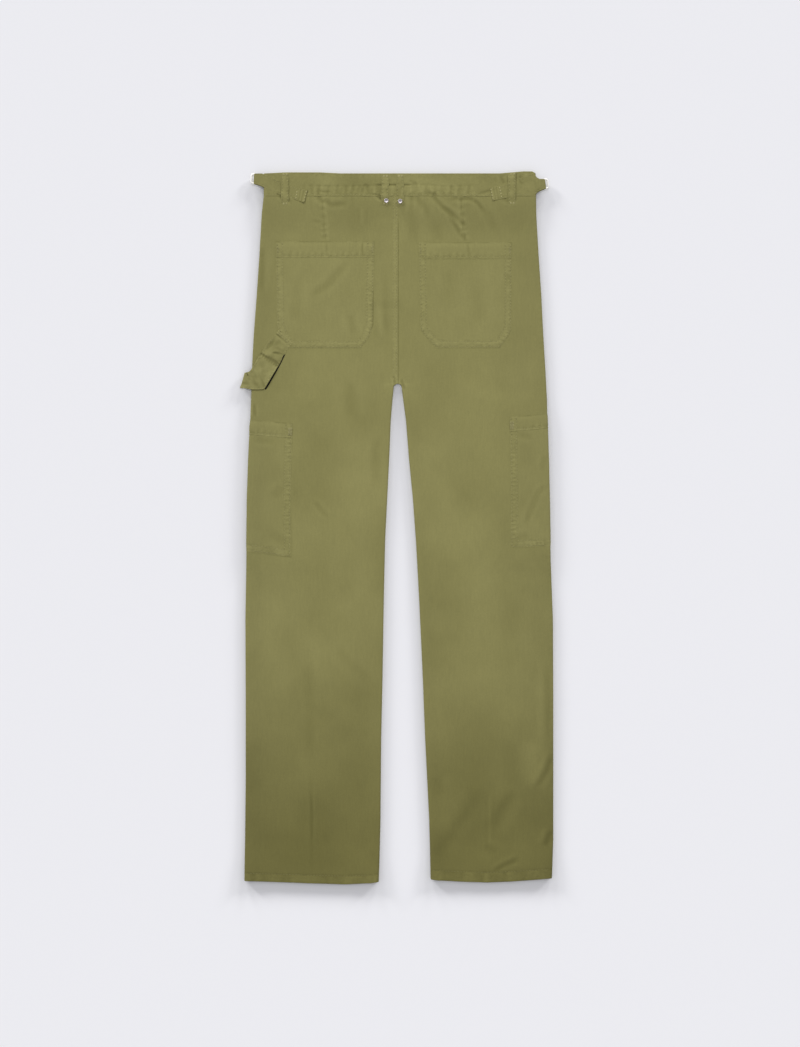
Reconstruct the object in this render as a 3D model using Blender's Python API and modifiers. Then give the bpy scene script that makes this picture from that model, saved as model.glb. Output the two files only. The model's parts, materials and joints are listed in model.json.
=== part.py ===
"""Cargo pants of olive cotton twill, laid flat on their front with the back up.

Run it in Blender 4.5. The frame is in metres: the cloth rests on z = 0, the waist is
towards +Y, and the wearer's right leg is towards +X. The tables and the helper
functions work in millimetres. A place on the garment is given by
    down    millimetres below the waist edge,
    out     millimetres from the centre line towards the side of that leg.
Each leg is a flattened tube. Its front layer rests on the floor or on what is sewn
to the front, and its back layer lies on the front layer.
"""

import math

import bmesh
import bpy
import numpy as np
from mathutils import Vector

MM = 0.001
LEFT, RIGHT = -1, 1
NAMES = {LEFT: "left", RIGHT: "right"}

# Main sizes, in millimetres
WAIST_Y = 533.0  # the waist edge's place along Y, with the origin at the middle
LENGTH = 1060.0  # outseam, waist edge to hem
SEAM_X = 2.0  # the centre seam's place along X
CROTCH_DOWN = 316.0
SEAM_GAP = 0.3  # between pieces that meet at a seam
LAY_GAP = 0.35  # between a panel and what is sewn on it

# Thickness of each sort of cloth, in millimetres
CLOTH = 1.2
HEM_CLOTH = 1.9
BAND_CLOTH = 2.2
POCKET_CLOTH = 1.2
POCKET_HEM_CLOTH = 2.0
LOOP_CLOTH = 1.4
STRAP_CLOTH = 1.6
FLY_CLOTH = 1.0

# Heights, in millimetres
WAIST_LIFT = 2.8  # the button and straps hold the waistband off the floor
CARGO_LIFT = POCKET_CLOTH + LAY_GAP
FLY_LIFT = FLY_CLOTH + SEAM_GAP
SIDE_PUFF = 2.4  # how much thicker the folded side edges are than the flat cloth
LAYER_GAP = 0.3
OPEN_GAP = 0.9  # between front and back at the waist and the hems

BAND_HEIGHT = 36.0
PUCKER_PITCH = 12.4  # of the small gathers along the back waistband
HEM_HEIGHT = 12.0
WAIST_FADE = 60.0
SIDE_FADE = 24.0
FLY_WIDTH = 34.0
FLY_FADE = 16.0
FLY_END = 190.0
CARGO_REACH = 70.0  # from the side edge towards the inseam
CARGO_TOP, CARGO_BOTTOM = 361.0, 567.5
CARGO_FADE = 11.0
ROUND_STEPS = 3  # faces round a quarter turn of a folded edge

# down: millimetres below the waist edge; left, right: the side edge's distance out
OUTSEAM = np.array([
    (0, 198.5, 208.5), (36, 199, 209), (63, 202, 209.5), (123, 205.5, 213),
    (183, 209.5, 217), (243, 214, 220), (300, 217, 223.5), (340, 218, 225.5),
    (370, 219, 226), (430, 222, 228), (490, 224, 229.5), (580, 225, 231),
    (670, 226.5, 234.5), (790, 226, 235), (910, 226, 235), (1000, 227, 235),
    (1060, 228, 233),
])
# down; left, right: the inseam's distance out. Above the crotch both are the centre seam.
INSEAM = np.array([
    (0, -SEAM_X, SEAM_X), (316, -SEAM_X, SEAM_X), (317, 0.5, 4.5), (318, 2.2, 6),
    (320, 4, 7.5), (340, 6, 10), (370, 8.5, 14), (430, 11, 18), (490, 14, 23),
    (550, 17, 29), (640, 19, 34), (760, 21, 39.5), (850, 23, 43), (970, 24, 49),
    (1030, 25.5, 50.5), (1060, 26.5, 51),
])
# share of the leg's width from the inseam; left, right: how far the hem drops
HEM_DROP = np.array([
    (0, -1.5, -1.5), (0.06, 4.5, 0.3), (0.25, 6.3, 2.3), (0.47, 5, 3.5),
    (0.67, 3.5, 2), (0.88, 2, -0.8), (1, 1, -3),
])
# place along X; rise of the waist edge above its middle height
WAIST_RISE = np.array([
    (-200, -1), (-190, 0), (-115, 0), (-85, -1.5), (155, -1.5), (172, 0), (190, 1.5),
    (203, 1.5), (210, -2),
])
# down; how far the layer's inner edge has turned under at the crotch, in degrees
CROTCH_TURN = np.array([(316, 0), (317, 30), (318, 60), (320, 90)])

# The largest folds of the back layer. Their ends, half their width and their height;
# a negative height is a trough.
FOLDS = (
    # x, down at one end; x, down at the other; half width, height
    (56, 36, 106, 104, 9, 1.7),
    (120, 40, 152, 92, 10, 0.9),
    (-128, 905, -127, 1056, 9, 1.1),
    (138, 905, 52, 1024, 13, 1.5),
    (176, 918, 138, 972, 12, 1.1),
    (228, 868, 204, 930, 11, 1.1),
    (229, 978, 212, 1024, 10, 0.9),
    (186, 1022, 138, 1050, 10, 0.9),
    (-32, 392, -31, 476, 11, 0.8),
    (-132, 486, -104, 524, 12, 0.8),
)

PANEL_ROWS = (
    36.3, 46, 57, 68, 77, 86, 96, 105, 124, 156, 190, 212, 240, 268, 296, 310, 316, 317,
    318, 320, 328, 340, 350, 361, 370, 390, 410, 430, 450, 470, 486, 500, 514, 530, 550,
    567.5, 578.5, 620, 670, 730, 790, 850, 868, 884, 900, 915, 930, 945, 960, 975, 990,
    1005, 1020, 1034, 1047, 1048.5, 1060,
)
FRONT_ROWS = (
    36.3, 68, 96, 124, 156, 190, 212, 268, 300, 316, 317, 318, 320, 328, 340, 350, 361,
    400, 430, 490, 567.5, 578.5, 620, 670, 790, 910, 970, 1030, 1047, 1048.5, 1060,
)
FROM_SIDE = (12, 24, 35, 46, 58, CARGO_REACH + 0.6, CARGO_REACH + 11)
FROM_INSEAM = (FLY_WIDTH + FLY_FADE, 42, FLY_WIDTH, 26, 20, 8)
MIDDLE_COLUMNS = {True: 6, False: 1}  # on the back layer and on the front layer

OLIVE = (0.235, 0.216, 0.084, 1)
OLIVE_LIGHT = (0.252, 0.233, 0.096, 1)
STEEL = (0.72, 0.72, 0.72, 1)


def read(table, at, side=None):
    """The value of a table at one place, straight between its rows."""
    column = 1 if side in (None, LEFT) else 2
    return float(np.interp(at, table[:, 0], table[:, column]))


def fade(distance, reach):
    """1 where distance is 0 or less, falling straight to 0 at reach."""
    return min(1.0, max(0.0, 1 - distance / reach))


def outseam(side, down):
    return read(OUTSEAM, down, side)


def inseam(side, down):
    return read(INSEAM, down, side)


def cloth(down):
    return HEM_CLOTH if down > LENGTH - HEM_HEIGHT else CLOTH


def floor_lift(side, out, down):
    """Height of the front layer's underside above the floor."""
    waist = WAIST_LIFT * fade(down - BAND_HEIGHT, WAIST_FADE)
    past_pocket = max(outseam(side, down) - CARGO_REACH - 0.6 - out,
                      CARGO_TOP - down, down - CARGO_BOTTOM)
    pocket = CARGO_LIFT * fade(past_pocket, CARGO_FADE)
    from_seam = abs(out - side * SEAM_X)
    past_fly = max(from_seam - FLY_WIDTH if side == LEFT else from_seam, down - FLY_END)
    fly = FLY_LIFT * fade(past_fly, FLY_FADE if side == LEFT else 20.0)
    return max(waist, pocket, fly)


def fold_height(x, down):
    """What the folds add to the back layer's height at one place."""
    total = 0.0
    for x0, down0, x1, down1, half_width, height in FOLDS:
        run_x, run_down = x1 - x0, down1 - down0
        length = math.hypot(run_x, run_down)
        along = ((x - x0) * run_x + (down - down0) * run_down) / length
        across = abs((x - x0) * run_down - (down - down0) * run_x) / length
        if 0 < along < length and across < half_width:
            ends = math.sin(math.pi * along / length)
            total += height * ends * math.cos(math.pi / 2 * across / half_width) ** 2
    return total


def back_top(side, out, down):
    """Height of the back layer's upper face."""
    from_side = outseam(side, down) - out
    from_inseam = out - inseam(side, down)
    below_crotch = 1 - fade(down - CROTCH_DOWN + 20, 44.0)
    puff = max(SIDE_PUFF * fade(from_side - 2.6, SIDE_FADE - 2.6),
               SIDE_PUFF * below_crotch * fade(from_inseam - 2.6, 20 - 2.6))
    waist = 1.7 * fade(down - BAND_HEIGHT, WAIST_FADE)
    hem = (OPEN_GAP - LAYER_GAP) * fade(LENGTH - HEM_HEIGHT - down, 50.0)
    ease = max(puff, waist) + hem + fold_height(side * out, down)
    return floor_lift(side, out, down) + 2 * cloth(down) + LAYER_GAP + ease


def to_world(x, down, z):
    """A garment place as a point: the hems drop and the waist edge rises a little."""
    side = LEFT if x < SEAM_X else RIGHT
    share = (side * x - inseam(side, down)) / (outseam(side, down) - inseam(side, down))
    drop = read(HEM_DROP, share, side) * (1 - fade(down - 960, LENGTH - 960))
    rise = read(WAIST_RISE, x) * fade(down, BAND_HEIGHT)
    return (x, WAIST_Y - down - drop + rise, z)


def folded_edge(edge, inwards, low, high, turn, top):
    """Points and outward normals round one folded edge, from the flat cloth to the edge.

    low and high are the heights of the tube's faces there, turn is how far the layer
    turns round the edge, in radians, and top says which of the two layers it is.
    """
    radius = (high - low) / 2
    turn = max(0.0, turn - SEAM_GAP / 2 / radius) if turn > 0 else 0.0
    straight = radius * (math.pi / 2 - turn)
    start = edge + inwards * (straight + radius * math.sin(turn))
    level, up = (high, 1) if top else (low, -1)
    points = []
    for step in range(ROUND_STEPS + 1):
        along = step / ROUND_STEPS * radius * math.pi / 2
        angle = max(0.0, along - straight) / radius
        out = start - inwards * (min(along, straight) + radius * math.sin(angle))
        z = level - up * radius * (1 - math.cos(angle))
        points.append((out, z, -inwards * math.sin(angle), up * math.cos(angle)))
    return points


def panel_section(side, down, top):
    """One cut across a leg layer, side edge to inseam, as (out, z, normal out, normal z)."""
    side_edge, seam_edge = outseam(side, down), inseam(side, down)
    turn = math.radians(read(CROTCH_TURN, down))
    if down <= CROTCH_DOWN:
        seam_edge += SEAM_GAP / 2
    level = back_top if top else floor_lift
    ends = []
    for edge, inwards, angle in ((side_edge, -1, math.pi / 2), (seam_edge, 1, turn)):
        near = edge + inwards * 2.6
        low, high = floor_lift(side, near, down), back_top(side, near, down)
        ends.append(folded_edge(edge, inwards, low, high, angle, top))
    flat = [side_edge - d for d in FROM_SIDE]
    flat += [seam_edge + d for d in FROM_INSEAM]
    count = MIDDLE_COLUMNS[top]
    between = np.linspace(flat[len(FROM_SIDE) - 1], flat[len(FROM_SIDE)], count + 2)
    flat[len(FROM_SIDE):len(FROM_SIDE)] = list(between[1:-1])
    up = 1 if top else -1
    return (ends[0][::-1]
            + [(out, level(side, out, down), 0, up) for out in flat]
            + ends[1])


def offset(section, side, down, distance):
    """The section moved along its normals and placed in the frame."""
    return [to_world(side * (out + n_out * distance), down, z + n_z * distance)
            for out, z, n_out, n_z in section]


def material(name, color, roughness, metallic=0.0):
    made = bpy.data.materials.new(name)
    made.use_nodes = True
    shader = made.node_tree.nodes["Principled BSDF"]
    shader.inputs["Base Color"].default_value = color
    shader.inputs["Roughness"].default_value = roughness
    shader.inputs["Metallic"].default_value = metallic
    return made


def add_object(name, mesh, color=OLIVE, roughness=0.9, metallic=0.0):
    mesh.materials.append(material(name, color, roughness, metallic))
    made = bpy.data.objects.new(name, mesh)
    garment.objects.link(made)
    made.parent = root
    return made


def wall(name, outside, inside, color=OLIVE):
    """A closed wall between two equal grids of points, in millimetres."""
    outside, inside = np.array(outside, float), np.array(inside, float)
    rows, columns = outside.shape[:2]
    work = bmesh.new()
    grids = []
    for grid in (outside, inside):
        grids.append([[work.verts.new(Vector(p) * MM) for p in row] for row in grid])
    for grid in grids:
        for r in range(rows - 1):
            for c in range(columns - 1):
                work.faces.new((grid[r][c], grid[r + 1][c],
                                grid[r + 1][c + 1], grid[r][c + 1]))
    border = [(r, 0) for r in range(rows - 1)]
    border += [(rows - 1, c) for c in range(columns - 1)]
    border += [(r, columns - 1) for r in range(rows - 1, 0, -1)]
    border += [(0, c) for c in range(columns - 1, 0, -1)]
    for (r0, c0), (r1, c1) in zip(border, border[1:] + border[:1]):
        work.faces.new((grids[0][r0][c0], grids[0][r1][c1],
                        grids[1][r1][c1], grids[1][r0][c0]))
    bmesh.ops.recalc_face_normals(work, faces=work.faces)
    mesh = bpy.data.meshes.new(name)
    work.to_mesh(mesh)
    work.free()
    mesh.shade_smooth()
    mesh.set_sharp_from_angle(angle=math.radians(40))
    return add_object(name, mesh, color)


def leg_panel(side, top):
    """Half of a leg tube, from the waistband to the hem, with its hem turned up."""
    outside, inside = [], []
    for down in (PANEL_ROWS if top else FRONT_ROWS):
        section = panel_section(side, down, top)
        outside.append(offset(section, side, down, 0))
        inside.append(offset(section, side, down, -cloth(down)))
    wall(("back_" if top else "front_") + NAMES[side], outside, inside)


def band_height(top):
    """Height of the waistband's outer face on the back or the front."""
    return WAIST_LIFT + (2 * BAND_CLOTH + OPEN_GAP - 0.4 if top else 0)


def pucker(x, down):
    """The small gathers along the lower half of the back waistband."""
    along = min(fade(-140 - x, 8.0), fade(x - 108, 8.0))
    across = fade(abs(down - 27) - 4, 5.0)
    return 0.45 * along * across * math.sin(2 * math.pi * x / PUCKER_PITCH)


BAND_ROWS = (0, 10, 18, 23, 31, 35.7)


def band_piece(name, top, start, end, columns):
    """A stretch of waistband between two ends: a side edge, or the front opening."""
    low, high = band_height(False), band_height(True)
    up = 1 if top else -1
    outside, inside = [], []
    for down in BAND_ROWS:
        section = []
        for side, is_first in ((start, True), (end, False)):
            if side is None:
                edge = SEAM_X + (SEAM_GAP / 2 if is_first else -SEAM_GAP / 2)
                part = [(edge, high if top else low, 0, up)]
            else:
                edge = side * outseam(side, down)
                part = folded_edge(edge, -side, low, high, math.pi / 2, top)
            section += (part[::-1] if is_first else columns_of(columns, top, down, up) + part)
        outside.append([to_world(x, down, z) for x, z, _, _ in section])
        inside.append([
            to_world(x - n_x * BAND_CLOTH,
                     down, z - n_z * BAND_CLOTH - (pucker(x, down) if top else 0))
            for x, z, n_x, n_z in section])
    wall(name, outside, inside)


def columns_of(columns, top, down, up):
    level = band_height(top)
    return [(x, level + (pucker(x, down) if top else 0), 0, up) for x in columns]


def waistband():
    gathers = [PUCKER_PITCH / 4 * n for n in range(-48, 38)]
    band_piece("waistband_back", True, LEFT, RIGHT, [-180, -160] + gathers + [125, 160, 190])
    band_piece("waistband_front_left", False, LEFT, None, [-150, -100, -50])
    band_piece("waistband_front_right", False, None, RIGHT, [50, 100, 150])


# down; the pocket's edges towards the centre seam and towards the side, as distances out
BACK_POCKETS = {
    LEFT: np.array([(102.5, 33, 181), (127, 33, 181), (180, 34, 180), (228, 34.5, 179.5),
                    (243, 40, 174), (260, 53, 162)]),
    RIGHT: np.array([(104, 33, 173), (129, 33, 173), (180, 34, 173), (235, 35.5, 173),
                     (248, 46, 165), (261, 60, 155)]),
}
POCKET_COLUMNS = 9


def back_pocket(side):
    """A patch pocket with a turned-down top band and cut corners."""
    table = BACK_POCKETS[side]
    band_end = table[1][0]
    downs = [table[0][0], band_end - 0.8, band_end + 0.8] + list(table[2:, 0])
    outside, inside = [], []
    for down in downs:
        near, far = read(table, down, LEFT), read(table, down, RIGHT)
        thick = POCKET_HEM_CLOTH if down < band_end else POCKET_CLOTH
        lower, upper = [], []
        for out in np.linspace(near, far, POCKET_COLUMNS):
            z = back_top(side, out, down) + LAY_GAP
            lower.append(to_world(side * out, down, z))
            upper.append(to_world(side * out, down, z + thick))
        outside.append(upper)
        inside.append(lower)
    wall("back_pocket_" + NAMES[side], outside, inside, OLIVE_LIGHT)


# The cargo pocket's shown half: top and bottom at the side edge and at its inner edge
CARGO_EDGES = {
    LEFT: {"top": (370.5, 375.5), "bottom": (567.5, 576)},
    RIGHT: {"top": (361, 366), "bottom": (559.5, 562.5)},
}
CARGO_BAND = 22.0


def cargo_pocket(side):
    """A pocket wrapped round the side of the leg, half on the back and half beneath."""
    edges = CARGO_EDGES[side]
    top, bottom = edges["top"][0], edges["bottom"][0]
    downs = [top, top + CARGO_BAND, top + CARGO_BAND + 1.5]
    downs += [d for d in PANEL_ROWS if downs[-1] + 5 < d < bottom - 5] + [bottom]
    reach = [CARGO_REACH] + [d for d in FROM_SIDE if d < CARGO_REACH][::-1]
    outside, inside = [], []
    for row, down in enumerate(downs):
        share = (down - top) / (bottom - top)
        slant = ((1 - share) * (edges["top"][1] - top)
                 + share * (edges["bottom"][1] - bottom))
        edge = outseam(side, down)
        near = edge - 2.6
        low, high = floor_lift(side, near, down), back_top(side, near, down)
        over = folded_edge(edge, -1, low, high, math.pi / 2, True)
        under = folded_edge(edge, -1, low, high, math.pi / 2, False)
        # the two layers' last points meet at the side, so one of them is left out
        section = [(edge - d, back_top(side, edge - d, down), 0, 1, d) for d in reach]
        section += [(*p, 0) for p in over]
        section += [(*p, 0) for p in under[-2::-1]]
        section += [(edge - d, floor_lift(side, edge - d, down), 0, -1, 0)
                    for d in reach[::-1]]
        outer_row, inner_row = [], []
        for out, z, n_out, n_z, along in section:
            at = down + slant * along / CARGO_REACH
            thick = POCKET_HEM_CLOTH if row < 2 and along > 0 else POCKET_CLOTH
            for distance, points in ((LAY_GAP, inner_row), (LAY_GAP + thick, outer_row)):
                points.append(to_world(side * (out + n_out * distance), at,
                                       z + n_z * distance))
        outside.append(outer_row)
        inside.append(inner_row)
    wall("cargo_pocket_" + NAMES[side], outside, inside, OLIVE_LIGHT)


def strip(name, stations, thick, color=OLIVE_LIGHT):
    """A flat strip from (left edge point, right edge point) stations, as world millimetres.

    The stations lie on the strip's inner face, and its thickness grows to the side that
    the stations turn towards as they are read with the left edge on the left.
    """
    lefts = [Vector(s[0]) for s in stations]
    rights = [Vector(s[1]) for s in stations]
    middles = [(a + b) / 2 for a, b in zip(lefts, rights)]
    outside, inside = [], []
    for i, (a, b) in enumerate(zip(lefts, rights)):
        along = middles[min(i + 1, len(middles) - 1)] - middles[max(i - 1, 0)]
        normal = (b - a).cross(along).normalized()
        inside.append([a, middles[i], b])
        outside.append([p + normal * thick for p in (a, middles[i], b)])
    return wall(name, outside, inside, color)


def belt_loop(name, x, width, profile, under=False):
    """A belt loop across the waistband. profile is (down, height of its inner face)."""
    half = width / 2
    order = (half, -half) if not under else (-half, half)
    stations = [[to_world(x + dx, down, z) for dx in order] for down, z in profile]
    strip(name, stations, LOOP_CLOTH)


# Adjuster strap on each side: its free tail and its fold round the ring, as (x, down)
STRAPS = {
    LEFT: {"tail": (-134.5, 36.0), "fold": (-213.5, 10.5)},
    RIGHT: {"tail": (141.5, 33.0), "fold": (223.0, 16.5)},
}
STRAP_WIDTH, STRAP_FOLD_WIDTH = 19.5, 14.6
FOLD_RADIUS = 1.5  # inside the strap's fold
RING_WIRE, RING_LENGTH, RING_WIDTH = 1.8, 7.6, 17.4
RING_INNER_CORNER, RING_OUTER_CORNER = 1.5, 3.4


def strap_frame(side):
    """The strap's tail, its direction towards the fold, its cross direction, its length."""
    tail_x, tail_down = STRAPS[side]["tail"]
    fold_x, fold_down = STRAPS[side]["fold"]
    tail = Vector((tail_x, WAIST_Y - tail_down, 0))
    fold = Vector((fold_x, WAIST_Y - fold_down, 0))
    along = (fold - tail).normalized()
    across = Vector((0, 0, 1)).cross(along)
    return tail, along, across, (fold - tail).length


def adjuster_strap(side):
    """A strap over the back of the waistband, round the ring and under the front."""
    tail, along, across, length = strap_frame(side)
    over = band_height(True) + 0.7
    under = band_height(False) - SEAM_GAP
    middle = (over + under) / 2
    turn = length - STRAP_CLOTH - FOLD_RADIUS
    path = [(0, over), (30, over), (58, over), (turn - 10, over),
            (turn - 4, middle + FOLD_RADIUS + 0.4)]
    path += [(turn + FOLD_RADIUS * math.sin(a), middle + FOLD_RADIUS * math.cos(a))
             for a in np.linspace(0.15, math.pi - 0.15, 7)]
    path += [(turn - 4, middle - FOLD_RADIUS - 0.4), (turn - 10, under), (58, under),
             (24, under)]
    stations = []
    for u, z in path:
        near = fade(turn - 3 - u, 9.0)
        half = (STRAP_WIDTH + (STRAP_FOLD_WIDTH - STRAP_WIDTH) * near) / 2
        centre = tail + along * u + Vector((0, 0, z))
        stations.append((centre + across * half, centre - across * half))
    strip("adjuster_strap_" + NAMES[side], stations, STRAP_CLOTH)


def adjuster_ring(side):
    """A wire ring whose inner bar lies in the strap's fold."""
    tail, along, across, length = strap_frame(side)
    level = (band_height(True) + 0.7 + band_height(False) - SEAM_GAP) / 2
    start = tail + along * (length - STRAP_CLOTH - FOLD_RADIUS) + Vector((0, 0, level))
    curve = bpy.data.curves.new("adjuster_ring_" + NAMES[side], "CURVE")
    curve.dimensions = "3D"
    curve.bevel_depth = RING_WIRE / 2 * MM
    curve.bevel_resolution = 1
    points = []
    corners = ((RING_LENGTH, RING_WIDTH / 2, 0), (0, RING_WIDTH / 2, 90),
               (0, -RING_WIDTH / 2, 180), (RING_LENGTH, -RING_WIDTH / 2, 270))
    for u, v, first in corners:
        corner = RING_INNER_CORNER if u == 0 else RING_OUTER_CORNER
        centre_u = u + (corner if u == 0 else -corner)
        centre_v = v - math.copysign(corner, v)
        for degrees in (first, first + 45, first + 90):
            angle = math.radians(degrees)
            points.append(start + along * (centre_u + corner * math.cos(angle))
                          + across * (centre_v + corner * math.sin(angle)))
    spline = curve.splines.new("POLY")
    spline.points.add(len(points) - 1)
    for point, place in zip(spline.points, points):
        point.co = (*(place * MM), 1)
    spline.use_cyclic_u = True
    curve.materials.append(material(curve.name, STEEL, 0.3, 1.0))
    made = bpy.data.objects.new(curve.name, curve)
    garment.objects.link(made)
    made.parent = root


def rivet(name, x, down, z):
    """A shallow domed rivet, as a turned profile."""
    profile = ((0, 1.3), (2.0, 1.2), (3.4, 0.7), (3.8, 0.2), (3.8, 0), (0, 0))
    mesh = bpy.data.meshes.new(name)
    mesh.from_pydata([(r * MM, 0, h * MM) for r, h in profile],
                     [(i, i + 1) for i in range(len(profile) - 1)], [])
    made = add_object(name, mesh, STEEL, 0.35, 1.0)
    made.location = Vector(to_world(x, down, z)) * MM
    turn = made.modifiers.new("turn", "SCREW")
    turn.steps = turn.render_steps = 16
    turn.use_merge_vertices = True
    turn.merge_threshold = 0.00001


def waist_button(x, down):
    """A flat four-hole button's disc, under the front waistband."""
    bpy.ops.mesh.primitive_cylinder_add(
        vertices=32, radius=8.5 * MM, depth=2.4 * MM,
        location=Vector(to_world(x, down, 1.2)) * MM)
    made = bpy.context.object
    made.name = "waist_button"
    for collection in made.users_collection:
        collection.objects.unlink(made)
    garment.objects.link(made)
    made.data.materials.append(material("waist_button", (0.05, 0.045, 0.02, 1), 0.4))
    edge = made.modifiers.new("rounded rim", "BEVEL")
    edge.width = 0.5 * MM
    edge.segments = 2
    made.parent = root


# The hammer loop, from its tacked end to the outseam: the strip's two edges as (x, down),
# and how far its inner face stands above the cloth, or above the floor past the side edge
HAMMER_LOOP = (
    # left x, left down, right x, right down, height
    (-176.5, 235.5, -151.0, 257.0, 2.0),
    (-181.0, 240.5, -156.5, 261.0, 2.0),
    (-194.0, 259.0, -166.0, 272.5, 1.8),
    (-202.0, 271.5, -174.5, 287.0, 1.0),
    (-212.0, 286.5, -185.5, 303.5, 3.4),
    (-219.5, 297.5, -194.0, 318.5, 4.0),
)
HAMMER_ROUND = (
    # left x, left down, right x, right down, height above the floor
    (-225.5, 300.5, -206.5, 324.5, 8.6),
    (-229.5, 306.0, -222.0, 324.0, 7.0),
    (-231.8, 312.0, -230.5, 320.5, 4.6),
    (-229.5, 308.0, -227.0, 323.0, 2.4),
    (-222.5, 299.0, -221.0, 323.5, 2.2),
)


def hammer_loop():
    """A wide strip tacked by the left pocket, standing off the leg, sewn to the outseam."""
    stations = []
    for lx, ld, rx, rd, height in HAMMER_LOOP:
        edge = []
        for x, down in ((lx, ld), (rx, rd)):
            out = min(-x, outseam(LEFT, down) - 3)
            edge.append(to_world(x, down, back_top(LEFT, out, down) + height))
        stations.append(edge)
    for lx, ld, rx, rd, height in HAMMER_ROUND:
        stations.append([to_world(lx, ld, height), to_world(rx, rd, height)])
    strip("hammer_loop", [(b, a) for a, b in stations], 1.5)


def fly():
    """The fly's cover, sewn on the left front beside the centre seam."""
    outside, inside = [], []
    for down in [d for d in FRONT_ROWS if d < FLY_END] + [FLY_END]:
        curve_in = 12 * max(0.0, 1 - (FLY_END - down) / 34.0)
        lower, upper = [], []
        for out in np.linspace(-SEAM_X + 0.5, FLY_WIDTH - SEAM_X - 1 - curve_in, 4):
            z = floor_lift(LEFT, out, down) - SEAM_GAP
            upper.append(to_world(-out, down, z))
            lower.append(to_world(-out, down, z - FLY_CLOTH))
        outside.append(lower)
        inside.append(upper)
    wall("fly", outside, inside)


def belt_loops():
    over = band_height(True) + 0.45 + SEAM_GAP
    strap_top = band_height(True) + 0.7 + STRAP_CLOTH + SEAM_GAP
    for name, x, width in (("centre_left", -17.0, 12.0), ("centre_right", 5.5, 12.0)):
        profile = [(1.5, over), (20, over + 0.6), (38, over), (46, over - 0.2)]
        belt_loop("belt_loop_" + name, x, width, profile)
    for name, x, end, low, high in (("side_left", -167.0, 48, 13, 40),
                                    ("side_right", 173.0, 46, 13, 39)):
        profile = [(0.5, over - 0.3), (low - 5, over - 0.2), (low, strap_top),
                   (high, strap_top), (high + 4, over - 0.2), (end, over - 0.5)]
        belt_loop("belt_loop_" + name, x, 11.5, profile)
    for side in (LEFT, RIGHT):
        x = side * 112.0
        profile = [(down, floor_lift(side, 112.0, down) - SEAM_GAP) for down in (1.5, 36, 46)]
        belt_loop("belt_loop_front_" + NAMES[side], x, 12.0, profile, under=True)
    for name, x, loop_x in (("rivet_left", -15.3, -17.0), ("rivet_right", 5.5, 5.5)):
        rivet(name, x, 41.5, over + LOOP_CLOTH + SEAM_GAP)


def clear_scene():
    for old in list(bpy.data.objects):
        bpy.data.objects.remove(old)


clear_scene()
garment = bpy.data.collections.new("cargo_pants")
bpy.context.scene.collection.children.link(garment)
root = bpy.data.objects.new("cargo_pants_origin", None)
garment.objects.link(root)
for leg in (LEFT, RIGHT):
    leg_panel(leg, True)
    leg_panel(leg, False)
    back_pocket(leg)
    cargo_pocket(leg)
    adjuster_strap(leg)
    adjuster_ring(leg)
waistband()
belt_loops()
hammer_loop()
fly()
waist_button(-10.0, 18.0)
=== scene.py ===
"""Cargo pants of olive cotton twill, laid flat with the back up: the finished look.

Places on the garment are given in millimetres: x from the middle of the frame towards
the wearer's right leg, and down from the waist edge towards the hems. Heights are above
the surface that the garment lies on.
"""

import json
import math

import bmesh
import bpy
import numpy as np
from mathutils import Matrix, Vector

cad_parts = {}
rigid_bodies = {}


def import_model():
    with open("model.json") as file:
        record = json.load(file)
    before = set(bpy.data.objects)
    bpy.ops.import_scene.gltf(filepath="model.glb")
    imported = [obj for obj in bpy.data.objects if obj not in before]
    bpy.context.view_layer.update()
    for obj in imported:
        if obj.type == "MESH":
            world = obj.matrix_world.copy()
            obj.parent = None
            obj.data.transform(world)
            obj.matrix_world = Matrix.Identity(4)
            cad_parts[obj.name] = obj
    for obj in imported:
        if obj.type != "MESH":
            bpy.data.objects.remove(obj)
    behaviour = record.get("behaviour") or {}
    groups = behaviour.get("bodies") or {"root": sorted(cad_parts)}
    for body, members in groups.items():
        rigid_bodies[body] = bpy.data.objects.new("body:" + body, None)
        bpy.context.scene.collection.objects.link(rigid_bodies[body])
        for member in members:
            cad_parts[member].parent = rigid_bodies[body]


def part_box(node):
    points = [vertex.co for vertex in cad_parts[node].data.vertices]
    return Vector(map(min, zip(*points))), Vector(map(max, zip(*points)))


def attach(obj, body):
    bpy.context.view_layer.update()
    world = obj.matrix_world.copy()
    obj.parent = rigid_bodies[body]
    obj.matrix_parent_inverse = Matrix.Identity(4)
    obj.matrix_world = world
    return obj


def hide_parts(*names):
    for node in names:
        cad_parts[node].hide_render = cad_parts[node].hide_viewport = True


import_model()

bl_info = {
    "name": "Cargo pants, laid flat",
    "version": (1, 0, 0),
    "blender": (4, 5, 0),
    "location": "3D View > Sidebar > Cargo pants",
    "description": "Builds the cloth, sewing and metal of a pair of cargo pants",
    "category": "Object",
}

MM = 0.001
LEFT, RIGHT = -1, 1
NAMES = {LEFT: "left", RIGHT: "right"}

# Sizes of the garment, in millimetres, as in the solids
WAIST_Y = 533.0
LENGTH = 1060.0
SEAM_X = 2.0
WAIST_LIFT = 2.8
CARGO_LIFT = 1.55
FLY_LIFT = 1.3
EDGE_TURN = 2.6  # how far in from a side edge the cloth starts to turn down
SIDE_PUFF = 2.4
WAIST_PUFF = 1.95
HEM_PUFF = 2.8
CLOTH_MM = 0.8  # thickness of the cloth that shows
LAYERS = 2.7  # from the underside of the front to the top of the back, lying flat
BAND_HEIGHT = 36.0
WAIST_EASE = 60.0  # how far below the waistband the legs still stand higher
BAND_CLOTH = 2.2
BAND_TOP = 7.7
HEM_HEIGHT = 12.0
CARGO_TOP, CARGO_BOTTOM = 361.0, 567.5
CARGO_FRONT_REACH = 70.6
CARGO_REACH = {LEFT: (63.5, 67.0), RIGHT: (56.5, 60.0)}  # over the back, at top and bottom
FLY_WIDTH = 34.0
FLY_END = 190.0
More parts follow.
